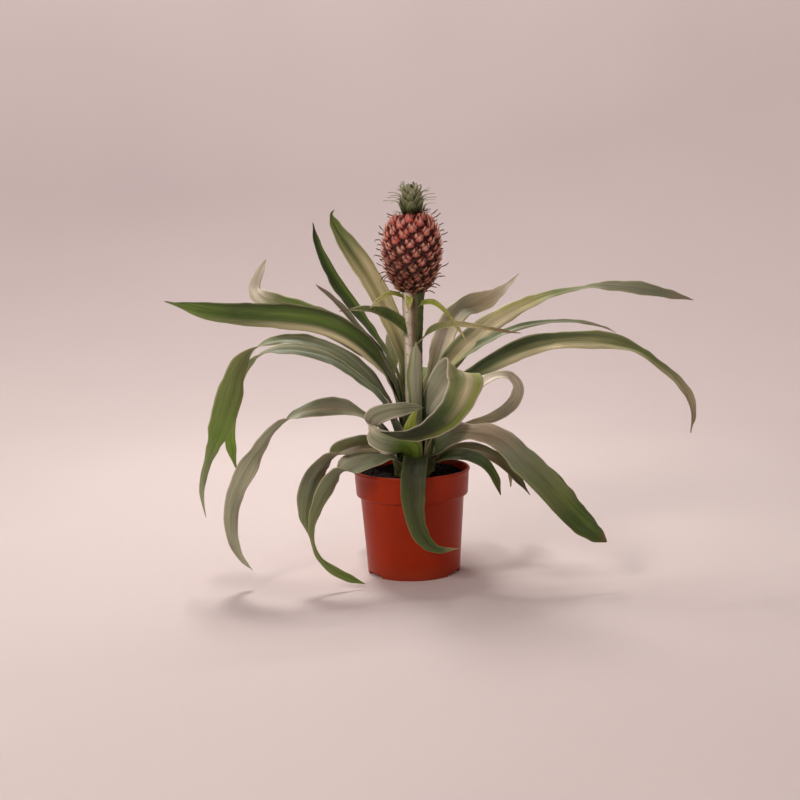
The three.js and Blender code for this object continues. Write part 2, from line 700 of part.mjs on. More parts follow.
    rows: [
      [-21, -34, 129, 26, 0.2, -0.9, -0.3],
      [-42, -48, 128.5, 25, 0, -0.7, -0.6],
      [-61, -58, 123, 25, -0.4, -0.6, -0.6],
      [-76, -66, 113, 22, -0.7, -0.6, -0.2],
      [-88, -72, 99, 18, -0.9, -0.5, 0.1],
      [-96, -74, 83, 12, -1, -0.3, 0.1],
      [-101, -76, 66, 7, -1, -0.1, 0],
      [-100, -76, 48, 4, -1, 0, 0],
      [-94, -76, 33, 5, -0.8, 0, -0.5],
      [-81, -74, 21, 9, -0.6, 0, -0.8],
      [-67, -72, 12.5, 9, -0.5, -0.3, -0.8],
      [-50, -70, 5, 1.5, -0.3, -0.5, -0.8],
    ],
  },
  {
    name: "leaf_small_right", ring: 8, azimuth: 310, start: 100.5, leave: 111, baseWidth: 18,
    cup: 40, wave: 0, tone: "green",
    rows: [
      [32, -28, 123, 15, 0.4, 0.7, 0.5],
      [47, -38, 128, 14, 0.3, 0.6, 0.7],
      [62, -46, 126.5, 14, 0.4, 0.6, 0.7],
      [74, -52, 119, 13, 0.6, 0.6, 0.5],
      [83, -56, 106, 10, 0.8, 0.5, 0.2],
      [88, -58, 89, 1.5, 0.8, 0.5, 0.2],
    ],
  },
  {
    name: "leaf_back_low", ring: 8, azimuth: 92, start: 100.5, leave: 110, baseWidth: 30,
    cup: 40, wave: 1.2, tone: "green",
    rows: [
      [2, 38, 128, 28, -1, 0, 0],
      [0, 62, 134, 26, -1, 0, 0.1],
      [-3, 92, 126, 25, -1, 0, 0.1],
      [-6, 118, 106, 23, -1, 0, 0.1],
      [-8, 137, 78, 17, -1, 0, 0.1],
      [-9, 148, 46, 1.5, -1, 0, 0.1],
    ],
  },
];

function leafShape({ ring, azimuth, start, leave, baseWidth, cup, wave, rows }) {
  const radius = RING_RADIUS + RING_STEP * ring;
  const out = new THREE.Vector3(Math.cos(rad(azimuth)), Math.sin(rad(azimuth)), 0);
  const across = new THREE.Vector3(-out.y, out.x, 0);
  const sheath = [
    [start, 0],
    [(start + leave) / 2, 0],
    [leave, 0.6],
  ].map(([z, extra]) => [
    stemX(z) + out.x * (radius + extra),
    out.y * (radius + extra),
    z,
    baseWidth,
    across.x,
    across.y,
    0,
  ]);
  return {
    rows: [...sheath, ...rows],
    cup,
    wave,
    baseArc: THREE.MathUtils.radToDeg(baseWidth / radius),
    baseLength: leave - start + 22,
  };
}

// Radius of the fruit along its height, as shares of the full radius and height

const FRUIT_PROFILE = [
  [0, 0.38],
  [0.06, 0.53],
  [0.12, 0.65],
  [0.2, 0.78],
  [0.3, 0.89],
  [0.42, 0.97],
  [0.52, 1],
  [0.64, 0.99],
  [0.78, 0.91],
  [0.88, 0.79],
  [0.95, 0.62],
  [1, 0.42],
];

// Stem and the small bracts that grow from the stalk under the fruit

const STALK_BRACTS = [
  [[5, 0, 247, 16, 0, 1, 0], [-4, -10, 257, 16, -0.3, -0.7, -0.6], [-20, -19, 270, 14, -0.2, -0.5, -0.8],
    [-40, -31, 277, 8, 0, -0.6, -0.8], [-68, -44, 276.5, 1.2, 0, -0.7, -0.7]],
  [[5, 0, 281, 8, 0, -1, 0], [-5, -7, 287, 6, 0, -0.8, -0.5], [-17, -17, 291, 5, 0, -0.6, -0.8],
    [-29, -25, 285, 4, -0.3, -0.5, -0.8], [-38, -30, 277, 1.2, -0.4, -0.5, -0.8]],
  [[6, 0, 271, 8, 0, 1, 0], [14, -9, 279, 7, 0, 0.8, 0.5], [26, -18, 281, 6, 0, 0.6, 0.8],
    [37, -24, 273, 5, 0.4, 0.5, 0.8], [48, -26, 258, 4, 0.6, 0.4, 0.6], [58, -26, 242, 1.2, 0.6, 0.4, 0.6]],
  [[6, 0, 232, 10, 0.8, 0.5, 0], [14, -10, 243, 9, 0.3, 0.9, 0.2], [27, -18, 255, 8, -0.3, 0.6, 0.7],
    [47, -26, 259, 7, 0, 0.5, 0.8], [67, -30, 257, 6, 0, 0.5, 0.8], [90, -30, 252, 4, 0, 0.6, 0.8],
    [114, -28, 248, 1.2, 0, 0.7, 0.7]],
  [[5, 0, 286, 8, 1, 0, 0], [3, -9, 287, 8, 1, 0, 0], [2, -13.5, 281, 7, 1, 0, 0],
    [1, -14, 272, 1.2, 1, 0, 0]],
  [[7, 0, 268, 10, 0.3, 1, 0], [14.5, 0, 276, 9, 0.3, 1, 0], [17, 0, 286, 6, 0.3, 1, 0],
    [19, 0, 296, 1.2, 0.3, 1, 0]],
  [[5, 2, 284, 7, -1, 0, 0], [4, 12, 288, 7, -1, 0, 0], [2, 22, 283, 5, -1, 0, 0],
    [0, 27, 272, 1.2, -1, 0, 0]],
];

function makeStem() {
  const profile = [
    [0, STEM_RADII[0][0]],
    ...STEM_RADII.filter(([z]) => z < STEM_TOP).map(([z, r]) => [r, z]),
    [ramp(STEM_RADII, STEM_TOP - GAP), STEM_TOP - GAP],
    [0, STEM_TOP - GAP],
  ];
  const geometry = turned(profile, STEM_SIDES);
  const position = geometry.attributes.position;
  for (let i = 0; i < position.count; i++) {
    position.setX(i, position.getX(i) + stemX(Math.max(position.getZ(i), COLLAR_FLOOR)));
  }
  let stem = solidOf(geometry);
  for (const rows of STALK_BRACTS) {
    stem = stem.add(bladeSolid({ rows, ...BRACT_SHAPE }));
  }
  const fruitSpace = turned(
    [
      [0, STEM_TOP - GAP],
      ...FRUIT_PROFILE.map(([share, size]) => [
        FRUIT_RADIUS * size + FRUITLET_RISE + GAP,
        STEM_TOP - GAP + FRUIT_HEIGHT * share,
      ]),
      [0, STEM_TOP + FRUIT_HEIGHT],
    ],
    STEM_SIDES,
  );
  fruitSpace.translate(FRUIT_X, 0, 0);
  return largestBody(stem.subtract(solidOf(fruitSpace)));
}

// Fruit: fruitlets sit on a golden-angle spiral. Each one is a low rounded boss; the grooves between
// them run through the middles of the spiral's small triangles.

function fruitPoint(turn, share, rise) {
  const radius = FRUIT_RADIUS * ramp(FRUIT_PROFILE, clamp01(share)) + rise;
  return new THREE.Vector3(
    FRUIT_X + radius * Math.cos(turn),
    radius * Math.sin(turn),
    FRUIT_BASE + FRUIT_HEIGHT * clamp01(share),
  );
}

function fruitletPlace(k) {
  return { turn: k * GOLDEN_ANGLE, share: (k + 0.5) / FRUITLETS };
}

function between(places) {
  const first = places[0];
  let turn = 0;
  let share = 0;
  for (const place of places) {
    const wrap = Math.round((place.turn - first.turn) / (2 * Math.PI));
    turn += (place.turn - wrap * 2 * Math.PI) / places.length;
    share += place.share / places.length;
  }
  return { turn, share };
}

function makeFruit() {
  const points = [];
  const triangles = [];
  const known = new Map();
  const vertex = (key, make) => {
    if (!known.has(key)) {
      known.set(key, points.length);
      points.push(make());
    }
    return known.get(key);
  };
  const tip = (k) =>
    vertex(`t${k}`, () => {
      const { turn, share } = fruitletPlace(k);
      return fruitPoint(turn, share, FRUITLET_RISE);
    });
  const groove = (...ks) => {
    const key = ks.slice().sort((a, b) => a - b);
    return vertex(`g${key.join("_")}`, () => {
      const { turn, share } = between(key.map(fruitletPlace));
      return fruitPoint(turn, share, 0);
    });
  };
  const shoulder = (k, ...ks) => {
    const key = ks.slice().sort((a, b) => a - b);
    return vertex(`s${k}_${key.join("_")}`, () => {
      const edge = between([k, ...key.filter((n) => n !== k)].map(fruitletPlace));
      const own = fruitletPlace(k);
      const turn = mix(own.turn, edge.turn, SHOULDER_PLACE);
      const share = mix(own.share, edge.share, SHOULDER_PLACE);
      return fruitPoint(turn, share, FRUITLET_RISE * SHOULDER_RISE);
    });
  };
  // The boss of fruitlet k between two neighbouring low points of its outline
  const sector = (k, low1, low2) => {
    const [in1, in2] = [shoulder(k, ...low1), shoulder(k, ...low2)];
    const [out1, out2] = [groove(...low1), groove(...low2)];
    triangles.push([tip(k), in1, in2], [in1, out1, out2], [in1, out2, in2]);
  };
  const poles = [points.length, points.length + 1];
  points.push(new THREE.Vector3(FRUIT_X, 0, FRUIT_BASE));
  points.push(new THREE.Vector3(FRUIT_X, 0, FRUIT_BASE + FRUIT_HEIGHT));
  const edge = (a, b, right, left) => {
    if (b >= FRUITLETS) return;
    const has = (k) => k >= 0 && k < FRUITLETS && Math.max(a, b, k) - Math.min(a, b, k) === 21;
    const lowRight = has(right) ? [a, b, right] : [a, b];
    const lowLeft = has(left) ? [a, b, left] : [a, b];
    sector(a, lowRight, lowLeft);
    sector(b, lowLeft, lowRight);
    if (has(right) && has(left)) return;
    const pole = a < FRUITLETS / 2 ? poles[0] : poles[1];
    const [first, second] = has(right) ? [b, a] : [a, b];
    const rim = [tip(first), shoulder(first, a, b), groove(a, b), shoulder(second, a, b), tip(second)];
    for (let n = 0; n < 4; n++) triangles.push([rim[n], pole, rim[n + 1]]);
  };
  for (let k = 0; k < FRUITLETS; k++) {
    edge(k, k + 8, k - 13, k + 21);
    edge(k, k + 13, k + 21, k - 8);
    edge(k, k + 21, k + 8, k + 13);
  }
  let fruit = facingOut(points, triangles);
  for (let k = 4; k < FRUITLETS - 10; k += SPINE_EVERY) {
    fruit = fruit.add(spineSolid(fruitletPlace(k)));
  }
  return largestBody(fruit);
}

// A thin hooked spine: leaves its fruitlet outward, then bends up
function spineSolid({ turn, share }) {
  const foot = fruitPoint(turn, share, FRUITLET_RISE - 1.6);
  const out = new THREE.Vector3(Math.cos(turn), Math.sin(turn), 0);
  const side = new THREE.Vector3(-out.y, out.x, 0);
  const up = new THREE.Vector3(0, 0, 1);
  const stops = [
    [0, -0.6, 0.75],
    [SPINE_LENGTH * 0.62, 0.6, 0.45],
    [SPINE_LENGTH, 3.2, 0.12],
  ];
  const points = [];
  for (const [far, high, radius] of stops) {
    for (let j = 0; j < 3; j++) {
      const angle = (j * 2 * Math.PI) / 3;
      points.push(
        foot
          .clone()
          .addScaledVector(out, far)
          .addScaledVector(up, high + radius * Math.cos(angle))
          .addScaledVector(side, radius * Math.sin(angle)),
      );
    }
  }
  const triangles = [
    [0, 1, 2],
    [6, 8, 7],
  ];
  for (let s = 0; s < 2; s++) {
    for (let j = 0; j < 3; j++) {
      const [a, b] = [3 * s + j, 3 * s + ((j + 1) % 3)];
      triangles.push([a, a + 3, b + 3], [a, b + 3, b]);
    }
  }
  return facingOut(points, triangles);
}

// Crown: short leaves in a golden-angle spiral round a core, tips bent outward

function makeCrown() {
  const core = turned(
    [
      [0, CROWN_BASE],
      [7, CROWN_BASE],
      [7.4, CROWN_BASE + CROWN_HEIGHT * 0.3],
      [4.6, CROWN_BASE + CROWN_HEIGHT * 0.68],
      [0, CROWN_BASE + CROWN_HEIGHT * 0.84],
    ],
    8,
  );
  core.translate(FRUIT_X + 1, 0, 0);
  let crown = solidOf(core);
  for (let k = 0; k < CROWN_LEAVES; k++) {
    const share = k / (CROWN_LEAVES - 1);
    const turn = k * GOLDEN_ANGLE;
    const out = [Math.cos(turn), Math.sin(turn)];
    const rootHeight = CROWN_BASE + 0.8 + share * CROWN_HEIGHT * 0.52;
    const rootRadius = mix(6.4, 3.2, share);
    const length = mix(13, 17.5, share);
    const width = mix(11, 7, share);
    const rowAt = (radius, rise, w) => [
      FRUIT_X + 1 + out[0] * radius,
      out[1] * radius,
      rootHeight + rise,
      w,
      -out[1],
      out[0],
      0,
    ];
    const rows = [
      rowAt(rootRadius, 0, width),
      rowAt(mix(10.4, 6.2, share), length * 0.5, width * 0.9),
      rowAt(mix(14.5, 7.4, share), length * 0.82, width * 0.4),
      rowAt(mix(24, 8.4, share), length * mix(0.88, 1, share), 1.1),
    ];
    crown = crown.add(bladeSolid({ rows, cup: 60, baseArc: 70, baseLength: 4, columns: 2, step: 6.5 }));
  }
  return largestBody(crown);
}

// Assembly

add("pot", makePot(), 0x8c2f1c, 0.42);
add("soil", makeSoil(), 0x1d1512, 0.95);

const stem = makeStem();
add("stem", geometryOf(stem), 0x7d7350, 0.7);

const stemSpace = (() => {
  const geometry = turned(
    [
      [0, STEM_RADII[0][0] - GAP],
      ...STEM_RADII.filter(([z]) => z < STEM_TOP).map(([z, r]) => [r + CLEARANCE, z]),
      [0, STEM_TOP],
    ],
    STEM_SIDES,
  );
  const position = geometry.attributes.position;
  for (let i = 0; i < position.count; i++) {
    position.setX(i, position.getX(i) + stemX(Math.max(position.getZ(i), COLLAR_FLOOR)));
  }
  let space = solidOf(geometry);
  for (const rows of STALK_BRACTS) {
    space = space.add(bladeSolid({ rows, ...BRACT_SHAPE }, CLEARANCE));
  }
  return space;
})();

const LEAF_COLOURS = { green: 0x4c5a34, grey: 0x77765a, dark: 0x2f4026 };

const taken = [stemSpace];
for (const entry of LEAVES) {
  const shape = leafShape(entry);
  let leaf = bladeSolid(shape);
  for (const space of taken) {
    const cut = leaf.subtract(space);
    leaf.delete();
    leaf = cut;
  }
  leaf = largestBody(leaf);
  taken.push(bladeSolid(shape, CLEARANCE));
  add(entry.name, geometryOf(leaf), LEAF_COLOURS[entry.tone], 0.5);
}

add("fruit", geometryOf(makeFruit()), 0x8e4038, 0.6);
add("crown", geometryOf(makeCrown()), 0x66704f, 0.6);

export default root;
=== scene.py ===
"""Potted ornamental pineapple plant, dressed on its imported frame. Metres, +Z up, origin under the pot."""
import math
import random

import bpy
import numpy as np
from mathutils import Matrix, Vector


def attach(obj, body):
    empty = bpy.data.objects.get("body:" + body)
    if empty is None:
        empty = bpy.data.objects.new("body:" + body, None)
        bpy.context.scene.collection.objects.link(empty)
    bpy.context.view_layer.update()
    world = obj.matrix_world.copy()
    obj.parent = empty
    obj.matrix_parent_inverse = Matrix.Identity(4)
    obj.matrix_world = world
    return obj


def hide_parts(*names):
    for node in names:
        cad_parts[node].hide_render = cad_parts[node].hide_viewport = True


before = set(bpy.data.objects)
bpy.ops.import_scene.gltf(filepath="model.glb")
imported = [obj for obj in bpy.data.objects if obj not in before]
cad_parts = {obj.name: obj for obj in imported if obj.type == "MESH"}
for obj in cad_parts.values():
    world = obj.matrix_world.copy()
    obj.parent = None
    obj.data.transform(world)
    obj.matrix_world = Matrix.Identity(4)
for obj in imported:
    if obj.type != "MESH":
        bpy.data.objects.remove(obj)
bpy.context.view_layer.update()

MM = 0.001
GOLDEN_ANGLE = math.radians(137.508)
UP = np.array([0, 0, 1.0])
rng = random.Random(11)

# Stem and leaf rings, in millimetres, as in the solid model
SOIL_HEIGHT = 99.0
STEM_X = 3.2
STEM_LEAN = 0.016
COLLAR_FLOOR = 94.0
RING_RADIUS = 10.9
RING_STEP = 1.4
BLADE_THICKNESS = 0.8

# Fruit and crown, in millimetres
FRUIT_BASE = 291.0
FRUIT_HEIGHT = 78.0
FRUIT_RADIUS = 27.4
FRUIT_X = 6.2
FRUITLETS = 110
CROWN_X = FRUIT_X + 1
CROWN_BASE = 369.3
CROWN_HEIGHT = 36.0


def linear(colour):
    """A six-digit sRGB hex colour as linear red, green, blue."""
    channels = [int(colour[i:i + 2], 16) / 255 for i in (1, 3, 5)]
    return np.array([c / 12.92 if c <= 0.04045 else ((c + 0.055) / 1.055) ** 2.4 for c in channels])


def rgba(colour):
    """A hex colour as a socket takes it."""
    return (*linear(colour), 1.0)


def smooth(t):
    """Eases from 0 to 1."""
    t = np.clip(t, 0, 1)
    return t * t * (3 - 2 * t)


def stem_x(z):
    """The middle of the leaning stem at a height."""
    return STEM_X + STEM_LEAN * (z - SOIL_HEIGHT)


def directions(turn):
    """Away from a round form's axis, and along its round."""
    out = np.array([math.cos(turn), math.sin(turn), 0])
    return out, np.array([-out[1], out[0], 0])


def full_turn(sides):
    """Angles once round, without the last, which is the first again."""
    return np.linspace(0, 2 * math.pi, sides, endpoint=False)


def turned(centre_x, radii, angles, heights):
    """Points of a round form, a row for each height and a column for each angle."""
    across = (centre_x + radii * np.cos(angles), radii * np.sin(angles))
    return np.stack([*across, heights * np.ones_like(angles)], axis=-1)


# Materials

NOISE_ROUGHNESS = 0.62
BUMP_STRENGTH = 0.9

# A Mix node's two colours go in at 6 and 7, and its colour comes out at 2
MIX_FIRST, MIX_SECOND, MIX_RESULT = 6, 7, 2


def fill(tree, made, links):
    """Links a node's inputs to sockets, or sets them to values."""
    for key, value in links.items():
        socket = made.inputs[key]
        if isinstance(value, bpy.types.NodeSocket):
            tree.links.new(value, socket)
        else:
            socket.default_value = value


def add(tree, kind, links, output=0, **settings):
    """Adds a node with its settings, fills or links its inputs by name or number, gives back one output."""
    made = tree.nodes.new(kind)
    for key, value in settings.items():
        setattr(made, key, value)
    fill(tree, made, links)
    return made.outputs[output]


def surface(name, base, patterns, layers, grain, gloss, shine, along_blade=False):
    """A material: noise patterns by their size in millimetres, colour layers that a pattern lets through,
    grain depths in millimetres, and a roughness that follows a pattern. A base of None takes the mesh's
    own tint. along_blade measures the patterns across and along a leaf instead of in the room."""
    material = bpy.data.materials.new(name)
    material.use_nodes = True
    tree = material.node_tree
    if along_blade:
        place, per_mm = add(tree, "ShaderNodeUVMap", {}, uv_map="blade_mm"), 1
    else:
        place, per_mm = add(tree, "ShaderNodeTexCoord", {}, "Object"), 1 / MM
    values = {"height": add(tree, "ShaderNodeSeparateXYZ", {"Vector": place}, "Z")}
    for key, sizes, detail in patterns:
        scale = [per_mm / size for size in sizes]
        stretched = add(tree, "ShaderNodeMapping", {"Vector": place, "Scale": scale})
        links = {"Vector": stretched, "Scale": 1.0, "Detail": detail, "Roughness": NOISE_ROUGHNESS}
        values[key] = add(tree, "ShaderNodeTexNoise", links)
    colour = rgba(base) if base else add(tree, "ShaderNodeAttribute", {}, "Color", attribute_name="tint")
    for key, low, high, strength, mode, other in layers:
        links = {"Value": values[key], "From Min": low, "From Max": high, "To Min": 0.0, "To Max": strength}
        amount = add(tree, "ShaderNodeMapRange", links)
        links = {"Factor": amount, MIX_FIRST: colour, MIX_SECOND: rgba(other)}
        colour = add(tree, "ShaderNodeMix", links, MIX_RESULT, data_type="RGBA", blend_type=mode)
    normal = None
    for key, depth in grain:
        links = {"Height": values[key], "Distance": depth * MM, "Strength": BUMP_STRENGTH}
        if normal:
            links["Normal"] = normal
        normal = add(tree, "ShaderNodeBump", links)
    key, smoothest, roughest = gloss
    links = {"Value": values[key], "From Min": 0.3, "From Max": 0.7, "To Min": smoothest, "To Max": roughest}
    rough = add(tree, "ShaderNodeMapRange", links)
    links = {"Base Color": colour, "Roughness": rough, "Normal": normal, "Specular IOR Level": shine}
    fill(tree, tree.nodes["Principled BSDF"], links)
    return material


# Strap leaf with a waxy skin: fine lengthwise fibres and paler streaks, a powdery bloom that greys it in
# patches, and a satin shine that breaks along the fibres
LEAF = surface(
    "waxy_leaf_with_powdery_bloom", None, along_blade=True,
    patterns=(
        ("fibres", (0.6, 50, 1), 4), ("streaks", (2.2, 90, 1), 2),
        ("bloom", (9, 28, 1), 3), ("specks", (0.8, 0.8, 1), 2),
    ),
    layers=(
        ("fibres", 0.42, 0.68, 0.6, "MULTIPLY", "#8c9474"),
        ("streaks", 0.52, 0.72, 0.35, "SCREEN", "#4f5238"),
        ("bloom", 0.5, 0.75, 0.14, "MIX", "#8a8f74"),
        ("specks", 0.5, 0.72, 0.15, "MULTIPLY", "#8c8a6e"),
    ),
    grain=(("fibres", 0.2), ("specks", 0.05)), gloss=("bloom", 0.44, 0.62), shine=0.2,
)

# Injection-moulded polypropylene nursery pot: terracotta red all through, a satin skin with faint upright
# drag lines from the mould, drawn coarser than real ones so that they show, small scuffs and a little dust
# at the foot
POT = surface(
    "moulded_terracotta_polypropylene", "#942808",
    patterns=(("cloud", (45, 45, 45), 3), ("drag", (2.4, 2.4, 110), 2), ("scuff", (11, 11, 4), 5)),
    layers=(
        ("cloud", 0.35, 0.65, 1.0, "MIX", "#a02d08"),
        ("scuff", 0.66, 0.8, 0.3, "MIX", "#b5543a"),
        ("height", 0.018, 0.0, 0.2, "MIX", "#8a5a45"),
    ),
    grain=(("drag", 0.05), ("scuff", 0.03)), gloss=("cloud", 0.3, 0.4), shine=0.14,
)

# Damp peat: crumbs from black to brown with a few pale fibres, rough and without shine
PEAT = surface(
    "damp_crumbly_peat", "#0d0908",
    patterns=(("crumbs", (2.4, 2.4, 2.4), 5), ("patches", (11, 11, 11), 3), ("fibres", (5, 0.7, 1.1), 3)),
    layers=(
        ("crumbs", 0.3, 0.7, 1.0, "MIX", "#241913"),
        ("patches", 0.4, 0.7, 0.6, "MIX", "#130d0b"),
        ("fibres", 0.7, 0.78, 0.6, "MIX", "#5d4837"),
    ),
    grain=(("crumbs", 0.9),), gloss=("crumbs", 0.9, 1.0), shine=0.08,
)

# Fresh scaly fruit skin: each scale's tint from the mesh, which holds painted shade in the grooves and
# painted highlights on the raised lumps and scale tips, with blotches, pale lengthwise scurf, a leathery pore
# and a dull satin shine
FRUIT = surface(
    "scaly_pineapple_skin", None,
    patterns=(("blotch", (2.6, 2.6, 2.6), 5), ("scurf", (0.7, 0.7, 3.8), 3), ("pores", (0.7, 0.7, 0.7), 3)),
    layers=(
        ("blotch", 0.46, 0.64, 0.6, "MULTIPLY", "#7d3a2c"),
        ("scurf", 0.52, 0.66, 0.7, "SCREEN", "#6e4a3c"),
    ),
    grain=(("blotch", 0.3), ("pores", 0.08)), gloss=("blotch", 0.42, 0.62), shine=0.3,
)

# Fibrous stalk going from green to brown: upright fibres, corky flecks and a matt skin
STALK = surface(
    "fibrous_corky_stalk", None,
    patterns=(("fibres", (0.9, 0.9, 16), 4), ("flecks", (3.1, 3.1, 1.9), 4)),
    layers=(
        ("fibres", 0.42, 0.68, 0.6, "MULTIPLY", "#7d7350"),
        ("flecks", 0.6, 0.72, 0.55, "MIX", "#5c3f2a"),
    ),
    grain=(("fibres", 0.35), ("flecks", 0.2)), gloss=("flecks", 0.6, 0.7), shine=0.25,
)

# Matt seamless background paper, a pale warm grey with the faintest mottle, its tooth drawn coarser than
# real so that it shows
PAPER = surface(
    "matt_background_paper", "#dfd4d1",
    patterns=(("cloud", (760, 760, 760), 2), ("tooth", (1.5, 1.5, 1.5), 2)),
    layers=(("cloud", 0.3, 0.7, 1.0, "MIX", "#dbcfcd"),),
    grain=(("tooth", 0.02),), gloss=("cloud", 0.88, 0.92), shine=0.12,
)


# Meshes

SPLINE_STEPS = 60


class Patchwork:
    """Collects points in millimetres, faces, and a colour and a texture place for each point."""

    def __init__(self):
        self.points = []
        self.faces = []
        self.tints = []
        self.places = []
        self.count = 0

    def grid(self, points, tints=None, places=None, close_rows=False, flip=False):
        """A grid of points, rows by columns. close_rows joins the last column to the first."""
        rows, columns = points.shape[:2]
        start = self.count
        self.points.append(points.reshape(-1, 3))
        white = np.ones(3)
        shown = np.broadcast_to(white if tints is None else tints, points.shape)
        self.tints.append(shown.reshape(-1, 3))
        flat = np.zeros((rows, columns, 2)) if places is None else places
        self.places.append(flat.reshape(-1, 2))
        self.count += rows * columns
        wide = columns if close_rows else columns - 1
        for i in range(rows - 1):
            for j in range(wide):
                k = (j + 1) % columns
                a, b = start + i * columns + j, start + i * columns + k
                c, d = start + (i + 1) * columns + k, start + (i + 1) * columns + j
                self.faces.append((a, d, c, b) if flip else (a, b, c, d))
        return start

    def cap(self, start, count, flip=False):
        """One flat face over the count points from start on."""
        ring = range(start, start + count)
        self.faces.append(tuple(reversed(ring) if flip else ring))

    def piece(self, name, material, tinted=False):
        """An object made of the patchwork, with its own tints and texture places where tinted."""
        mesh = bpy.data.meshes.new(name)
        points = np.concatenate(self.points)
        mesh.from_pydata((points * MM).tolist(), [], self.faces)
        mesh.validate()
        mesh.shade_smooth()
        if tinted:
            tints = np.concatenate(self.tints)
            layer = mesh.color_attributes.new("tint", "FLOAT_COLOR", "POINT")
            layer.data.foreach_set("color", np.hstack([tints, np.ones((len(tints), 1))]).ravel())
            places = np.concatenate(self.places)
            layer = mesh.uv_layers.new(name="blade_mm")
            corners = np.zeros(len(mesh.loops), int)
            mesh.loops.foreach_get("vertex_index", corners)
            layer.data.foreach_set("uv", places[corners].ravel())
        mesh.materials.append(material)
        piece = bpy.data.objects.new(name, mesh)
        bpy.context.scene.collection.objects.link(piece)
        return piece

    def build(self, name, material, node, tinted=True):
        """The piece that replaces one node of the solid model."""
        piece = self.piece(name, material, tinted)
        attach(piece, "root")
        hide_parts(node)
        return piece


def spline(rows, samples):
    """Centripetal spline through the rows' first three values, with the other values eased between rows.
    Returns points, unit tangents, the other values and the distance along, evenly spaced."""
    table = np.array(rows, float)
    control = table[:, :3]
    last = len(control) - 1

    def at(places):
        index = np.minimum(places.astype(int), last - 1)
        part = (places - index)[:, None]
        p1, p2 = control[index], control[index + 1]
        p0 = np.where(index[:, None] > 0, control[np.maximum(index - 1, 0)], 2 * control[0] - control[1])
        p3 = np.where(index[:, None] < last - 1, control[np.minimum(index + 2, last)],
                      2 * control[last] - control[last - 1])
        gaps = [np.maximum(np.sqrt(np.linalg.norm(b - a, axis=1)), 1e-4)[:, None]
                for a, b in ((p0, p1), (p1, p2), (p2, p3))]
        t1 = ((p1 - p0) / gaps[0] - (p2 - p0) / (gaps[0] + gaps[1]) + (p2 - p1) / gaps[1]) * gaps[1]
        t2 = ((p2 - p1) / gaps[1] - (p3 - p1) / (gaps[1] + gaps[2]) + (p3 - p2) / gaps[2]) * gaps[1]
        cubic = 2 * p1 - 2 * p2 + t1 + t2
        square = -3 * p1 + 3 * p2 - 2 * t1 - t2
        return p1 + part * (t1 + part * (square + part * cubic))

    fine = np.linspace(0, last, SPLINE_STEPS * last)
    path = at(fine)
    travelled = np.concatenate([[0], np.cumsum(np.linalg.norm(np.diff(path, axis=0), axis=1))])
    distance = np.linspace(0, travelled[-1], samples)
    places = np.interp(distance, travelled, fine)
    points = at(places)
    tangents = at(np.minimum(places + 1e-3, last)) - at(np.maximum(places - 1e-3, 0))
    tangents /= np.linalg.norm(tangents, axis=1)[:, None]
    index = np.minimum(places.astype(int), last - 1)
    part = smooth(places - index)[:, None]
    values = table[index, 3:] * (1 - part) + table[index + 1, 3:] * part
    return points, tangents, values, distance


# Colours in words, each a look of the living or dried plant, except that shade is painted shade where
# leaves lie in the shadow of others; soot and wine also paint the shade in the fruit's grooves, and cream
# and bone also serve for painted highlights
PAINT = {
    "shade": "#343a24", "dark": "#4e6231", "green": "#6f8b3c", "grass": "#90b247", "lime": "#aebb50",
    "moss": "#838c58", "grey": "#848b70", "ash": "#afb195", "straw": "#c8c08a", "cream": "#e8dcb2",
    "bone": "#f8ecd8", "tan": "#bfb192", "clay": "#9c8d76", "umber": "#655138", "bark": "#7c5c3a",
    "husk": "#3c2822", "fir": "#525a34", "sage": "#838a62", "soot": "#1e100c", "wine": "#3a100d",
    "cocoa": "#5c3020", "russet": "#833e2c", "brick": "#a54838", "rose": "#cb4a42", "fawn": "#b9806e",
    "blush": "#e0ac8c", "pink": "#f4b4a4",
}

# Leaves

# The look of those at the hidden back
BACK = dict(
    upper="grey 0, moss 0.35, green 0.6, moss 0.85, tan 1", lower="grey 0, ash 0.6, moss 0.9, tan 1",
    edge="ash 0, straw 0.6, clay 1",
)
LEAVES = {}


# The leaves' colours hold painted light: shade and the darkest stops at the stem end and in many bands are
# painted shade where a leaf lies in the shadow of others, and the cream and bone bands are painted highlights
# on the waxy skin, partly its real bloom and pale stripes
def leaf(name, cup=40, wave=0, **traits):
    """Notes a leaf, inner ones first. Its sheath lies on a ring round the stem, at an azimuth in degrees,
    from the height start to the height leave. A row after that is x, y, z, width and the direction across
    the blade; a row without a direction keeps the one before. cup is the arch across in degrees and wave
    the height of its ripples. Colours run from the stem end to the tip. A band is a stripe: its place and
    half width across, from -1 to 1, its colour, and its strength at shares of the length."""
    LEAVES["leaf_" + name] = dict(traits, cup=cup, wave=wave)


leaf(
    "upright_left", ring=0, azimuth=185, start=110, leave=170, base_width=14, cup=44,
    rows=(
        (-12, 8, 204, 17, -0.1, -1, 0), (-25, 18, 229, 17, -0.2, -1, -0.1),
        (-41, 26, 253, 17, -0.4, -0.8, -0.1), (-56, 34, 274, 17, -0.6, -0.7, -0.2),
        (-71, 42, 295, 16, -0.7, -0.6, -0.3), (-84, 50, 319, 12, -0.8, -0.5, -0.3),
        (-93, 58, 341, 8, -0.8, -0.5, -0.2), (-97, 64, 362, 1.5),
    ),
    upper="grey 0, moss 0.35, dark 0.55, dark 0.9, shade 1", lower="grey 0, moss 0.5, dark 1",
    edge="straw 0, moss 0.6, dark 1",
    upper_bands=(
        (0.5, 0.35, "shade", "0.35 0, 0.5 0.7, 0.9 0.6"), (-0.6, 0.3, "green", "0.4 0, 0.6 0.7, 0.9 0.3"),
        (-0.75, 0.16, "lime", "0.1 0.2, 0.25 0.9, 0.4 0.1"),
    ),
)
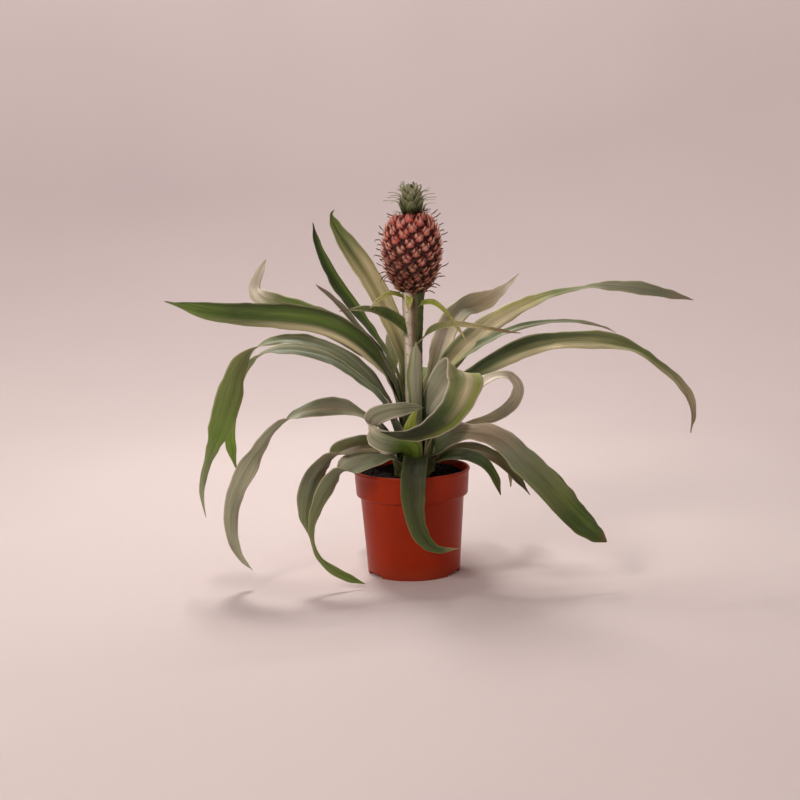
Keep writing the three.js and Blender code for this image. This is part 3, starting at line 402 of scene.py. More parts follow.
leaf(
    "upright_back", ring=0, azimuth=102, start=112, leave=180, base_width=15,
    rows=(
        (-1, 18, 212, 20, -0.8, -0.5, 0), (-8, 23, 236, 21, -0.9, -0.4, -0.1),
        (-18, 30, 262, 22, -0.9, -0.3, -0.2), (-30, 38, 289, 23, -0.9, -0.3, -0.3),
        (-44, 46, 313, 23, -0.8, -0.3, -0.4), (-60, 54, 337, 21), (-73, 60, 358, 13, -0.8, -0.4, -0.3),
        (-77, 60, 370, 4, -0.7, -0.5, 0), (-73, 56, 375, 1.5, -0.5, -0.5, 0.5),
    ),
    upper="shade 0, moss 0.2, moss 0.34, straw 0.5, straw 0.7, moss 0.84, green 1",
    lower="grey 0, ash 0.5, moss 1", edge="straw 0, cream 0.6, cream 0.9, straw 1",
    upper_bands=(
        (-0.45, 0.2, "cream", "0.2 0, 0.4 0.8, 0.75 0.8, 0.9 0"),
        (0.1, 0.13, "dark", "0.3 0, 0.65 0.15, 0.85 0.9, 1 0.2"),
        (0.6, 0.16, "cream", "0.3 0, 0.5 0.7, 0.75 0.5, 0.9 0.1"),
    ),
)
leaf(
    "clasp", ring=0, azimuth=277, start=112, leave=180, base_width=15, cup=95,
    rows=((5.5, -10.6, 205, 18, 1, 0, 0), (7, -10.3, 225, 14), (8, -10, 241, 1.5)),
    upper="moss 0, grey 1", lower="grey 0, ash 0.7, ash 1", edge="lime 0, straw 1",
    lower_bands=((-0.85, 0.3, "green", "0 0.8, 0.8 0.8, 1 0.3"),),
)
leaf(
    "folded_left", ring=1, azimuth=150, start=108, leave=165, base_width=18, cup=36,
    rows=(
        (-25, 12, 212, 23, -0.1, -0.8, -0.4), (-50, 18, 238, 27, -0.3, -0.4, -0.8),
        (-80, 25, 256, 28, -0.3, -0.35, -0.85), (-111, 32, 270, 26), (-138, 38, 280, 22, -0.3, -0.45, -0.8),
        (-154, 44, 287, 19, -0.4, -0.5, -0.7), (-160, 52, 296, 13, -0.8, -0.6, -0.3),
        (-155, 62, 311, 9, -0.9, -0.5, -0.2), (-148, 70, 325, 1.5, -0.9, -0.4, -0.3),
    ),
    upper="shade 0, moss 0.25, grey 0.4, moss 0.55, green 0.72, moss 0.78, bone 0.86, bone 0.97, tan 1",
    lower="grey 0, grey 0.5, moss 0.7, moss 0.8, bone 0.86, bone 0.97, tan 1",
    edge="moss 0, ash 0.5, cream 0.8, tan 1",
    upper_bands=(
        (0.45, 0.42, "straw", "0.2 0, 0.32 0.8, 0.5 0.7, 0.6 0"),
        (-0.55, 0.42, "shade", "0.05 0.9, 0.3 0.9, 0.42 0.1, 1 0"),
        (0, 0.2, "straw", "0.5 0, 0.62 0.5, 0.8 0.3, 0.85 0"),
    ),
)
leaf(
    "narrow_left", ring=1, azimuth=222, start=108, leave=150, base_width=13,
    rows=(
        (-14, -6, 195, 13, -0.3, -0.9, -0.1), (-31, -1, 228, 10, -0.3, -0.9, -0.3),
        (-49, 3, 253, 9, -0.3, -0.8, -0.4), (-63, 6, 271, 9, -0.4, -0.8, -0.4),
        (-78, 8, 287, 8, -0.4, -0.7, -0.5), (-93, 9, 300, 1.5),
    ),
    upper="shade 0, grey 0.4, grey 0.7, clay 1", lower="moss 0, grey 0.6, clay 1", edge="ash 0, tan 1",
    upper_bands=((0.4, 0.4, "shade", "0.1 0.7, 0.6 0.7, 0.9 0.3"),),
)
leaf(
    "fold_back_right", ring=1, azimuth=64, start=108, leave=165, base_width=14,
    rows=(
        (26, 22, 202, 20, -0.6, 0.7, 0.2), (35, 31, 229, 26, -0.7, 0.6, 0.3),
        (45, 41, 253, 26, -0.6, 0.6, 0.5), (57, 51, 266, 25, -0.3, 0.6, 0.7),
        (71, 59, 272, 25, 0, 0.4, 0.9), (85, 66, 275, 21), (98, 72, 282, 13, -0.1, 0.4, 0.9),
        (111, 76, 292, 6, -0.1, 0.5, 0.8), (122, 80, 302, 1.5, 0, 0.5, 0.8),
    ),
    upper="moss 0, straw 0.2, cream 0.34, bone 0.54, tan 0.62, ash 0.7, cream 0.8, bone 0.93, tan 1",
    lower="moss 0, straw 0.25, cream 0.45, bone 0.6, bone 0.85, tan 1",
    edge="lime 0, straw 0.5, bone 0.8, tan 1",
    upper_bands=(
        (0.5, 0.25, "moss", "0.1 0.6, 0.4 0.6, 0.55 0"),
        (-0.6, 0.25, "cream", "0.1 0.3, 0.35 0.7, 0.6 0.6, 0.7 0"),
    ),
)
leaf(
    "mid_right", ring=1, azimuth=0, start=106, leave=150, base_width=14,
    rows=(
        (31, 9, 195, 16, -0.2, 1, 0.1), (54, 12, 220, 15, -0.2, 0.9, 0.3),
        (78, 14, 235, 12, -0.2, 0.8, 0.4), (107, 15, 247.5, 10, -0.2, 0.8, 0.5),
        (135, 16, 253.5, 8, -0.1, 0.8, 0.5), (161, 16, 255, 7, 0, 0.8, 0.5), (186, 16, 252.5, 6),
        (203, 16, 247.5, 4), (216, 16, 241, 1.5),
    ),
    upper="shade 0, dark 0.2, moss 0.4, grey 0.8, clay 1", lower="moss 0, grey 0.5, clay 1",
    edge="grey 0, ash 0.5, tan 1",
    upper_bands=((0.5, 0.35, "dark", "0 0.7, 0.35 0.8, 0.7 0.4, 0.85 0"),),
)
leaf(
    "far_left", ring=2, azimuth=198, start=106, leave=158, base_width=20, cup=34,
    rows=(
        (-22, -12, 205, 22, 0, -0.7, -0.5), (-40, -20, 233, 22, 0, -0.4, -0.85),
        (-60, -26, 251.5, 24, 0, -0.3, -0.95), (-84, -30, 264, 25), (-117, -36, 271.5, 26),
        (-156, -42, 275, 24), (-195, -48, 280, 19, 0.1, -0.3, -0.95),
        (-239, -54, 292, 1.5, 0.2, -0.4, -0.9),
    ),
    upper="grey 0, grey 0.22, dark 0.36, dark 0.8, green 0.93, moss 1",
    lower="grey 0, ash 0.4, straw 0.8, moss 1", edge="ash 0, straw 0.5, moss 1",
    upper_bands=(
        (0.72, 0.24, "cream", "0.22 0, 0.32 0.8, 0.5 1, 0.62 0.7, 0.78 0.2, 1 0"),
        (-0.15, 0.3, "green", "0.4 0, 0.52 0.8, 0.66 0.8, 0.8 0.1"),
        (-0.85, 0.2, "shade", "0.3 0.4, 0.5 0.8, 0.9 0.6"),
    ),
)
leaf(
    "long_right_top", ring=2, azimuth=15, start=105, leave=148, base_width=22, cup=36,
    rows=(
        (30, 12, 190, 24, -0.2, 0.8, 0.4), (48, 17, 221, 25, -0.4, 0.6, 0.6),
        (72, 24, 242.5, 25, -0.4, 0.5, 0.7), (97, 32, 258.5, 22, -0.3, 0.5, 0.8),
        (124, 40, 271, 17, -0.2, 0.6, 0.7), (156, 50, 281, 12, 0, 0.8, 0.5), (189, 58, 286, 8, 0, 0.9, 0.3),
        (219, 66, 286, 13, 0, 0.5, 0.8), (250, 72, 282, 16, 0, 0.4, 0.9), (281, 78, 275, 11),
        (310, 84, 267, 1.5, 0, 0.5, 0.8),
    ),
    upper=("shade 0, moss 0.12, straw 0.22, cream 0.34, cream 0.46, "
           "straw 0.54, moss 0.62, ash 0.75, grey 0.9, clay 1"),
    lower="grey 0, straw 0.3, ash 0.6, clay 1", edge="green 0, moss 0.4, cream 0.7, tan 1",
    upper_bands=(
        (0.7, 0.5, "dark", "0.05 0.9, 0.2 0.9, 0.36 0.8, 0.46 0"),
        (-0.9, 0.14, "umber", "0.15 0.5, 0.35 0.7, 0.52 0.5, 0.6 0"),
        (0.6, 0.3, "lime", "0.4 0, 0.48 0.6, 0.6 0"),
    ),
)
leaf(
    "back_high", ring=2, azimuth=107, start=106, leave=150, base_width=21, cup=38,
    rows=(
        (1, 24, 196, 21, -1, -0.1, 0), (-3, 46, 222, 20, -1, -0.1, 0.1), (-9, 80, 238, 21),
        (-14, 118, 232, 20), (-17, 152, 206, 15), (-18, 172, 170, 1.5),
    ),
    **BACK,
)
# arch_left: its ash bands are painted highlights, the satin sheen on its powdery upper face, partly the bloom
leaf(
    "arch_left", ring=3, azimuth=208, start=104, leave=140, base_width=24, wave=1,
    rows=(
        (-20, -13, 176, 24, 0, -1, -0.2), (-45, -19, 211, 22, -0.1, -0.8, -0.5),
        (-69, -23, 232, 19, -0.1, -0.7, -0.6), (-101, -27, 245.5, 15),
        (-129, -30, 248, 12.5, -0.1, -0.8, -0.5), (-152, -34, 242, 14, -0.4, -0.8, -0.2),
        (-170, -38, 222, 21, -0.8, -0.5, 0), (-181, -42, 192, 28, -1, -0.2, 0.2),
        (-191, -44, 163, 24, -1, 0, 0.2), (-199, -45, 144, 14, -1, 0.1, 0.1),
        (-206, -46, 126, 8, -1, 0.2, 0.1), (-212, -46, 100, 6, -1, 0.3, 0), (-209, -46, 72, 1.5),
    ),
    upper="grey 0, grey 0.38, grey 0.48, moss 0.55, grass 0.66, grass 0.86, moss 0.94, ash 1",
    lower="grey 0, ash 0.4, moss 0.6, green 0.8, ash 1", edge="ash 0, cream 0.5, straw 0.8, clay 1",
    upper_bands=(
        (0.75, 0.3, "dark", "0.05 0.8, 0.3 0.8, 0.46 0.2"),
        (-0.3, 0.3, "ash", "0.1 0, 0.25 0.4, 0.45 0.2, 0.5 0"),
        (-0.4, 0.2, "ash", "0.58 0, 0.68 0.7, 0.82 0.5, 0.9 0"),
        (0.62, 0.2, "dark", "0.56 0, 0.66 0.8, 0.82 0.7, 0.9 0"),
    ),
)
# fold_front: the cream band on its lower face is a painted highlight
leaf(
    "fold_front", ring=3, azimuth=350, start=106, leave=134, base_width=24, cup=30,
    rows=(
        (19, -6, 168, 28, -0.4, 0.85, 0.3), (31, -8, 189, 36, -0.7, 0.6, 0.35),
        (42, -11, 203, 39, -0.8, 0.45, 0.36), (52, -18, 210.5, 39, -0.9, 0.3, 0.32),
        (57, -29, 204, 37, -0.95, 0.12, 0.28), (51, -39, 187.5, 33, -0.97, 0, 0.26),
        (40, -46.5, 172, 28, -0.93, 0, 0.37), (25, -52, 161, 24, -0.9, 0, 0.44),
        (9, -56, 154, 17, -0.9, 0, 0.42), (-8, -57, 152, 10, -0.86, 0.05, 0.5),
        (-31, -55, 156, 1.5, -0.7, 0.1, 0.7),
    ),
    upper="shade 0, grey 0.2, ash 0.36, grey 0.6, moss 1",
    lower="grey 0, straw 0.32, cream 0.42, moss 0.52, moss 0.6, dark 0.68, shade 0.8, shade 1",
    edge="straw 0, bone 0.25, bone 0.8, straw 1",
    upper_bands=((-0.3, 0.3, "bone", "0.2 0, 0.35 0.45, 0.5 0.35, 0.7 0"),),
    lower_bands=(
        (-0.2, 0.3, "cream", "0.34 0, 0.44 0.8, 0.58 0.9, 0.68 0.3, 0.74 0"),
        (-0.76, 0.2, "lime", "0.34 0, 0.46 0.5, 0.6 0.6, 0.72 0.5, 0.85 0.1"),
        (0.4, 0.2, "moss", "0.36 0, 0.48 0.7, 0.6 0.7, 0.7 0"),
        (0.96, 0.07, "bone", "0.1 0, 0.2 1, 0.9 1, 1 0.5"),
    ),
)
leaf(
    "heart", ring=3, azimuth=279, start=106, leave=128, base_width=13, cup=50,
    rows=(
        (2, -20, 142, 17, 0.95, 0.1, -0.2), (0, -26, 152, 15), (2, -30, 163, 10),
        (7, -30, 174, 1.2, 0.9, 0.1, -0.3),
    ),
    upper="grass 0, lime 0.5, lime 1", lower="grass 0, lime 0.4, lime 1", edge="lime 0, cream 1",
    lower_bands=((0, 0.2, "dark", "0 0.6, 0.6 0.4, 1 0"),),
)
leaf(
    "back_mid", ring=3, azimuth=84, start=103, leave=128, base_width=24, cup=38, wave=1.2,
    rows=(
        (12, 28, 166, 24, -1, 0.2, 0), (17, 50, 190, 24, -1, 0.2, 0.1), (24, 82, 200, 25),
        (31, 118, 190, 23), (36, 148, 160, 17), (38, 166, 120, 1.5),
    ),
    **BACK,
)
leaf(
    "arch_left_back", ring=4, azimuth=160, start=104, leave=138, base_width=24,
    rows=(
        (-30, 18, 180, 22, 0, -0.9, -0.4), (-53, 28, 202, 22, -0.1, -0.8, -0.5),
        (-78, 38, 219, 20, -0.1, -0.7, -0.6), (-104, 46, 227, 18, -0.1, -0.7, -0.7),
        (-131, 52, 229.5, 16, -0.1, -0.7, -0.6), (-155, 56, 225, 15, -0.4, -0.8, -0.2),
        (-174, 58, 208, 14, -0.7, -0.6, 0), (-187, 58, 182, 13, -0.9, -0.4, 0.1),
        (-193, 58, 153, 14, -1, -0.2, 0.1), (-193, 57, 127, 12, -1, 0, 0), (-188, 56, 101, 2),
    ),
    upper="dark 0, grey 0.3, grey 0.6, moss 0.74, grass 0.86, green 1",
    lower="grey 0, ash 0.5, grass 0.85, green 1", edge="ash 0, cream 0.5, lime 1",
    upper_bands=(
        (-0.5, 0.4, "ash", "0.2 0, 0.35 0.7, 0.6 0.6, 0.75 0"),
        (0.7, 0.3, "dark", "0.1 0.8, 0.5 0.7, 0.7 0.2"),
    ),
)
leaf(
    "curl_right", ring=4, azimuth=62, start=104, leave=132, base_width=22,
    rows=(
        (44, 26, 166, 18, -0.4, 0.9, 0.1), (70, 36, 185, 17, -0.4, 0.8, 0.3),
        (93, 45, 196, 16, -0.2, 0.8, 0.4), (110, 55, 191, 16, 0.4, 0.7, 0.4),
        (116, 63, 176, 16, 0.9, 0.4, 0.2), (109, 67, 161, 16, 0.8, 0.3, -0.4),
        (91, 66, 150, 14, 0.3, 0.4, -0.8), (72, 62, 145.5, 9, 0, 0.4, -0.9), (55, 58, 143, 1.5),
    ),
    upper="moss 0, tan 0.3, bone 0.5, ash 0.8, tan 1",
    lower="moss 0, tan 0.25, bone 0.45, bone 0.75, tan 1", edge="straw 0, bone 0.5, tan 1",
    lower_bands=((0.5, 0.3, "clay", "0.3 0, 0.5 0.7, 0.7 0.6, 1 0.3"),),
)
# loop_left: its bone bands are painted highlights along the fold of its turned edge
leaf(
    "loop_left", ring=4, azimuth=250, start=104, leave=118, base_width=25, cup=26,
    rows=(
        (-2, -27, 133, 26, 0.8, -0.2, 0.5), (-14, -38, 140, 26, 0.4, -0.2, 0.9),
        (-27, -42, 143, 25, 0, 0, 1), (-37, -40, 148, 23), (-42, -34, 156.5, 20), (-38, -30, 166, 20),
        (-27, -28.5, 171, 19), (-12, -27, 173.5, 16), (2, -21, 174, 10), (15, -19.5, 174, 1.2),
    ),
    upper="moss 0, ash 0.35, bone 0.48, ash 0.66, grey 1",
    lower="green 0, grass 0.2, green 0.3, grey 0.4, ash 0.5, bone 0.6, ash 0.78, tan 1",
    edge="lime 0, bone 0.35, bone 1",
    upper_bands=((-0.9, 0.16, "bone", "0.3 0, 0.42 1, 0.8 1, 1 0.4"),),
    lower_bands=(
        (-0.7, 0.3, "green", "0.1 0, 0.2 0.7, 0.35 0.3, 0.5 0"),
        (-0.9, 0.16, "bone", "0.3 0, 0.42 1, 0.8 1, 1 0.4"),
    ),
)
leaf(
    "low_left", ring=5, azimuth=199, start=103, leave=124, base_width=28, wave=3,
    rows=(
        (-30, -12, 155, 23, 0, -1, -0.2), (-48, -17, 167, 19, 0, -0.8, -0.5),
        (-69, -29, 177, 19, 0, -0.7, -0.7), (-92, -48, 181, 18, -0.2, -0.6, -0.7),
        (-113, -54, 176.5, 17, -0.4, -0.6, -0.6), (-134, -58, 162, 14, -0.6, -0.6, -0.1),
        (-150, -60, 144, 17, -0.8, -0.4, 0.3), (-164, -62, 124, 21, -0.9, -0.2, 0.3),
        (-176, -62, 100, 18, -1, -0.1, 0.2), (-182, -62, 76, 15, -1, -0.1, 0),
        (-181, -60, 52, 11, -1, 0, -0.1), (-173, -58, 31, 7, -1, 0, -0.3),
        (-163, -56, 18, 1.5, -0.9, 0, -0.4),
    ),
    upper="umber 0, shade 0.14, ash 0.26, grey 0.4, ash 0.55, grey 0.75, ash 1",
    lower="umber 0, grey 0.3, ash 0.6, ash 1", edge="clay 0, bone 0.5, tan 1",
    upper_bands=(
        (-0.6, 0.3, "shade", "0.1 0.9, 0.2 0.4, 0.35 0.1, 0.5 0.7, 0.75 0.6, 0.9 0"),
        (0.2, 0.3, "tan", "0.15 0, 0.24 0.9, 0.4 0.5, 0.6 0.3, 0.8 0"),
    ),
)
leaf(
    "long_right", ring=5, azimuth=350, start=103, leave=126, base_width=26, cup=36, wave=2.2,
    rows=(
        (38, 5, 173, 23, -0.2, 1, 0.2), (65, 6, 202, 22, -0.3, 0.7, 0.5), (93, 0, 219, 22, -0.3, 0.5, 0.7),
        (123, -10, 232, 22, -0.2, 0.4, 0.8), (155, -22, 239, 20, 0, 0.4, 0.8), (182, -32, 240, 19),
        (206, -42, 237, 17, 0.2, 0.5, 0.7), (230, -48, 228.5, 14, 0.4, 0.6, 0.5),
        (249, -52, 215, 10, 0.6, 0.5, 0.4), (266, -56, 199, 9, 0.8, 0.5, 0.3),
        (277, -58, 180, 9, 0.9, 0.4, 0.2), (280, -60, 165, 7, 1, 0.3, 0), (278, -60, 147, 1.5),
    ),
    upper="shade 0, dark 0.25, dark 0.5, moss 0.62, moss 0.8, tan 0.92, clay 1",
    lower="moss 0, straw 0.3, ash 0.6, clay 1", edge="straw 0, cream 0.4, straw 0.7, clay 1",
    upper_bands=(
        (-0.65, 0.34, "cream", "0.28 0, 0.4 0.7, 0.52 1, 0.64 0.6, 0.8 0.3, 0.9 0.1"),
        (0.1, 0.14, "straw", "0.35 0, 0.48 0.5, 0.62 0.5, 0.7 0"),
        (0.5, 0.45, "shade", "0.1 0.9, 0.45 0.8, 0.6 0.6, 0.8 0.2"),
    ),
)
leaf(
    "under_right", ring=6, azimuth=345, start=102, leave=118, base_width=20,
    rows=(
        (38, -12, 125, 17, 0.1, 0.8, 0.5), (54, -20, 130, 16, 0.1, 0.7, 0.7),
        (71, -28, 129, 15, 0.2, 0.7, 0.7), (88, -33, 121, 14, 0.4, 0.6, 0.6),
        (104, -37, 105, 12, 0.6, 0.6, 0.5), (119, -39, 84, 1.5, 0.6, 0.7, 0.3),
    ),
    upper="umber 0, clay 0.4, umber 0.7, shade 1", lower="moss 0, grey 0.6, umber 1", edge="clay 0, tan 1",
    upper_bands=((0.3, 0.4, "moss", "0 0.7, 0.5 0.5, 1 0.5"),),
)
leaf(
    "front", ring=6, azimuth=268, start=102, leave=114, base_width=26, cup=36, wave=1,
    rows=(
        (5, -33, 125, 25, 1, 0, 0), (3, -52, 121, 25), (1, -66, 110, 25), (0, -72, 93, 24, 1, 0.1, 0),
        (1, -74, 76, 21), (5, -75, 59, 18, 0.9, 0.1, 0.3), (13, -75, 46, 13, 0.6, 0.1, 0.8),
        (24, -74, 39, 8, 0.2, 0.1, 1), (45, -72, 39, 1.2, 0, 0.1, 1),
    ),
    upper="shade 0, shade 0.35, fir 0.6, dark 0.9, straw 1", lower="shade 0, dark 0.6, moss 1",
    edge="dark 0, moss 0.6, straw 1",
    upper_bands=(
        (0.1, 0.2, "shade", "0 0.4, 0.5 0.6, 0.9 0.3"), (-0.6, 0.25, "dark", "0.3 0, 0.6 0.4, 0.9 0.3"),
    ),
)
leaf(
    "back_side", ring=6, azimuth=56, start=102, leave=116, base_width=26, wave=1.2,
    rows=(
        (36, 34, 129, 24, -0.7, 0.7, 0), (56, 52, 133, 22, -0.7, 0.7, 0.1), (80, 76, 128, 22),
        (98, 98, 118, 19), (108, 112, 88, 12), (111, 118, 60, 1.5),
    ),
    **BACK,
)
leaf(
    "short_left", ring=7, azimuth=214, start=101, leave=116, base_width=28, wave=2,
    rows=(
        (-26, -27, 136, 25, 0, -0.9, -0.3), (-47, -37, 141, 25, 0, -0.8, -0.6),
        (-68, -46, 137, 25, -0.4, -0.7, -0.6), (-85, -54, 125, 26, -0.7, -0.6, -0.2),
        (-97, -60, 112, 26, -0.85, -0.5, 0), (-103, -64, 96, 24, -0.95, -0.3, 0),
        (-106, -66, 77, 17, -1, -0.1, 0), (-104, -66, 52, 1.5, -1, 0, 0),
    ),
    upper="shade 0, dark 0.25, umber 0.4, moss 0.62, dark 0.82, moss 1",
    lower="moss 0, clay 0.4, grey 0.7, moss 1", edge="moss 0, tan 0.5, tan 1",
    upper_bands=(
        (-0.5, 0.3, "dark", "0.05 0.8, 0.3 0.8, 0.5 0.4, 0.8 0.6"),
        (0.75, 0.25, "tan", "0.05 0.6, 0.25 0.8, 0.45 0.1"),
    ),
)
leaf(
    "broad_right", ring=7, azimuth=322, start=101, leave=116, base_width=30, cup=32, wave=1.5,
    rows=(
        (31, -21, 139, 27, -0.3, 0.7, 0.6), (47, -30, 149, 23, -0.3, 0.6, 0.75),
        (62, -40, 150.5, 16, -0.2, 0.6, 0.75), (77, -47, 149, 22, 0.1, 0.6, 0.75),
        (93, -54, 140, 33, 0.3, 0.7, 0.5), (109, -61, 125, 38, 0.4, 0.7, 0.4),
        (127, -69, 106, 39, 0.5, 0.7, 0.4), (146, -76, 85, 36, 0.5, 0.6, 0.5),
        (163, -82, 67, 30, 0.5, 0.6, 0.6), (178, -87, 54, 20), (189, -90, 46, 4),
    ),
    upper=("shade 0, dark 0.1, grey 0.22, clay 0.34, clay 0.42, "
           "grey 0.52, sage 0.62, moss 0.74, dark 0.84, dark 0.95, bark 1"),
    lower="moss 0, clay 0.3, moss 0.6, bark 1", edge="clay 0, cream 0.35, moss 0.7, bark 1",
    upper_bands=(
        (0.35, 0.25, "tan", "0.2 0, 0.34 0.7, 0.5 0.4, 0.6 0"),
        (-0.5, 0.3, "dark", "0.5 0, 0.66 0.3, 0.95 0.7"),
        (0.3, 0.25, "green", "0.66 0, 0.78 0.5, 0.92 0.5, 1 0"),
        (0.85, 0.2, "bone", "0.15 0, 0.25 0.5, 0.4 0.3, 0.5 0"),
    ),
)
leaf(
    "back_left", ring=7, azimuth=128, start=101, leave=114, base_width=29, wave=1.2,
    rows=(
        (-18, 32, 127, 26, -0.8, -0.6, 0), (-31, 50, 131, 24, -0.8, -0.6, 0.1), (-43, 74, 127, 24),
        (-51, 98, 110, 21, -0.85, -0.5, 0.1), (-56, 116, 86, 15, -0.9, -0.4, 0.1), (-57, 124, 58, 1.5),
    ),
    **BACK,
)
leaf(
    "floor_left", ring=8, azimuth=236, start=100.5, leave=110, base_width=28, wave=0.6,
    rows=(
        (-21, -34, 129, 26, 0.2, -0.9, -0.3), (-42, -48, 128.5, 25, 0, -0.7, -0.6),
        (-61, -58, 123, 25, -0.4, -0.6, -0.6), (-76, -66, 113, 22, -0.7, -0.6, -0.2),
        (-88, -72, 99, 18, -0.9, -0.5, 0.1), (-96, -74, 83, 12, -1, -0.3, 0.1),
        (-101, -76, 66, 7, -1, -0.1, 0), (-100, -76, 48, 4, -1, 0, 0), (-94, -76, 33, 5, -0.8, 0, -0.5),
        (-81, -74, 21, 9, -0.6, 0, -0.8), (-67, -72, 12.5, 9, -0.5, -0.3, -0.8),
        (-50, -70, 5, 1.5, -0.3, -0.5, -0.8),
    ),
    upper="shade 0, grey 0.2, ash 0.35, grey 0.55, clay 0.66, moss 0.78, green 0.9, bark 1",
    lower="moss 0, grey 0.4, moss 0.7, green 1", edge="grey 0, cream 0.4, straw 1",
    upper_bands=((0.5, 0.35, "dark", "0.1 0.5, 0.3 0.4, 0.5 0.1"),),
)
leaf(
    "small_right", ring=8, azimuth=310, start=100.5, leave=111, base_width=18,
    rows=(
        (32, -28, 123, 15, 0.4, 0.7, 0.5), (47, -38, 128, 14, 0.3, 0.6, 0.7),
        (62, -46, 126.5, 14, 0.4, 0.6, 0.7), (74, -52, 119, 13, 0.6, 0.6, 0.5),
        (83, -56, 106, 10, 0.8, 0.5, 0.2), (88, -58, 89, 1.5),
    ),
    upper="dark 0, shade 0.5, dark 0.8, umber 1", lower="moss 0, moss 0.6, umber 1", edge="moss 0, tan 1",
)
leaf(
    "back_low", ring=8, azimuth=92, start=100.5, leave=110, base_width=30, wave=1.2,
    rows=(
        (2, 38, 128, 28, -1, 0, 0), (0, 62, 134, 26, -1, 0, 0.1), (-3, 92, 126, 25), (-6, 118, 106, 23),
        (-8, 137, 78, 17), (-9, 148, 46, 1.5),
    ),
    **BACK,
)


# Random knots of a waver, and how many of them lie before its place 0
WAVER_KNOTS = 400
WAVER_START = 40


def eased(stops, shares):
    """Colours along a piece: stops such as "dark 0, grass 0.6, bark 1" read at the given shares."""
    words = [stop.split() for stop in stops.split(", ")]
    places = [float(place) for _, place in words]
    colours = np.array([linear(PAINT[colour]) for colour, _ in words])
    return np.stack([np.interp(shares, places, colours[:, i]) for i in range(3)], axis=1)


def steps(text):
    """Places and strengths from text such as "0.2 0, 0.5 0.8"."""
    return np.array([pair.split() for pair in text.split(", ")], float).T


def waver(places, step, seed, size=1.0):
    """Smooth random height along one direction, about one bend each step."""
    source = np.random.default_rng(seed)
    knots = source.uniform(-1, 1, WAVER_KNOTS)
    at = np.asarray(places) / step + WAVER_START
    index = np.clip(at.astype(int), 0, WAVER_KNOTS - 2)
    part = smooth(at - index)
    return size * (knots[index] * (1 - part) + knots[index + 1] * part)


def wavers(places, seed, bends):
    """Wavers added up: each bend has its step, a number that its seed adds, and its size."""
    return sum(waver(places, step, seed + extra, size) for step, extra, size in bends)


def unit(vectors):
    """The same directions, each of length one."""
    return vectors / np.maximum(np.linalg.norm(vectors, axis=1), 1e-9)[:, None]


def with_sides(rows):
    """The rows, each with a direction across: where a row has none, the one before it."""
    full, side = [], ()
    for row in rows:
        side = row[4:] or side
        full.append(row[:4] + side)
    return full


# Every blade: how far from its sheath its margins loosen, its tip's taper, the ripples of its wave, its
# ribs, its keel and the thin margin, in millimetres or shares of its half width
LOOSENING = 60
TIP_TAPER = 3.0
RIPPLE_STEP = 14
RIPPLE_SHIFT = 1.3
RIB_HEIGHT = 0.07
KEEL = 0.25
MARGIN_THINNING = 0.72

# Its colours: where across it the margin's colour begins, how soon and how strongly, how much darker or
# paler its lines and its slow changes are, how much painted shade darkens the channel down its middle, and
# that painted shade's width
MARGIN_START = 0.84
MARGIN_SPREAD = 0.14
MARGIN_PAINT = 0.65
LINE_DEPTH = 0.16
DRIFT_DEPTH = 0.1
TROUGH_SHADE_DEPTH = 0.13
TROUGH_SHADE_WIDTH = 0.22

# The wavers of its width, of the frill of its two margins, of its fine lines and of its slow changes
WIDTH_BENDS = ((23, 8, 0.05), (9, 9, 0.03))
FRILL_BENDS = ((9.0, 1, 0.9), (11.0, 2, 0.9))
LINE_BENDS = ((0.8, 30, 0.5), (2.6, 31, 0.5))
DRIFT_BENDS = ((40, 5, 0.5), (13, 6, 0.3))

# How far apart the two faces, and one leaf and the next, lie in the pattern
FACE_SHIFT = 60
LEAF_SHIFT = 7.3


def blade_tints(stops, distance, u, seed):
    """A blade's colours, a row for each place along it: across its upper face, then back across its lower
    one. u runs across a face from -1 to 1."""
    share = distance / distance[-1]
    edge = smooth((np.abs(u) - MARGIN_START) / MARGIN_SPREAD)[:, :, None]
    lines = wavers((u[0] + 1) * 10, seed, LINE_BENDS)
    drift = wavers(distance, seed, DRIFT_BENDS)[:, None]
    shade = 1 + LINE_DEPTH * lines[None, :] + DRIFT_DEPTH * drift
    # Painted shade down the middle of each face, where the blade's crease lies
    trough_shade = 1 - TROUGH_SHADE_DEPTH * np.exp(-(u / TROUGH_SHADE_WIDTH) ** 2)
    skins = []
    for key, order in (("upper", slice(None)), ("lower", slice(None, None, -1))):
        body = eased(stops[key], share)[:, None, :] * (shade * trough_shade)[:, :, None]
        # Bands: stripes of the leaf, many of them painted highlights and painted shade
        for place, half_width, colour, strength in stops.get(key + "_bands", ()):
            glow = np.exp(-((u - place) / half_width) ** 2) * np.interp(share, *steps(strength))[:, None]
            body = body + (linear(PAINT[colour]) * shade[:, :, None] - body) * glow[:, :, None]
        rim = eased(stops["edge"], share)[:, None, :]
        skins.append((body + (rim - body) * edge * MARGIN_PAINT)[:, order])
    return np.clip(np.concatenate(skins, axis=1), 0, 1)


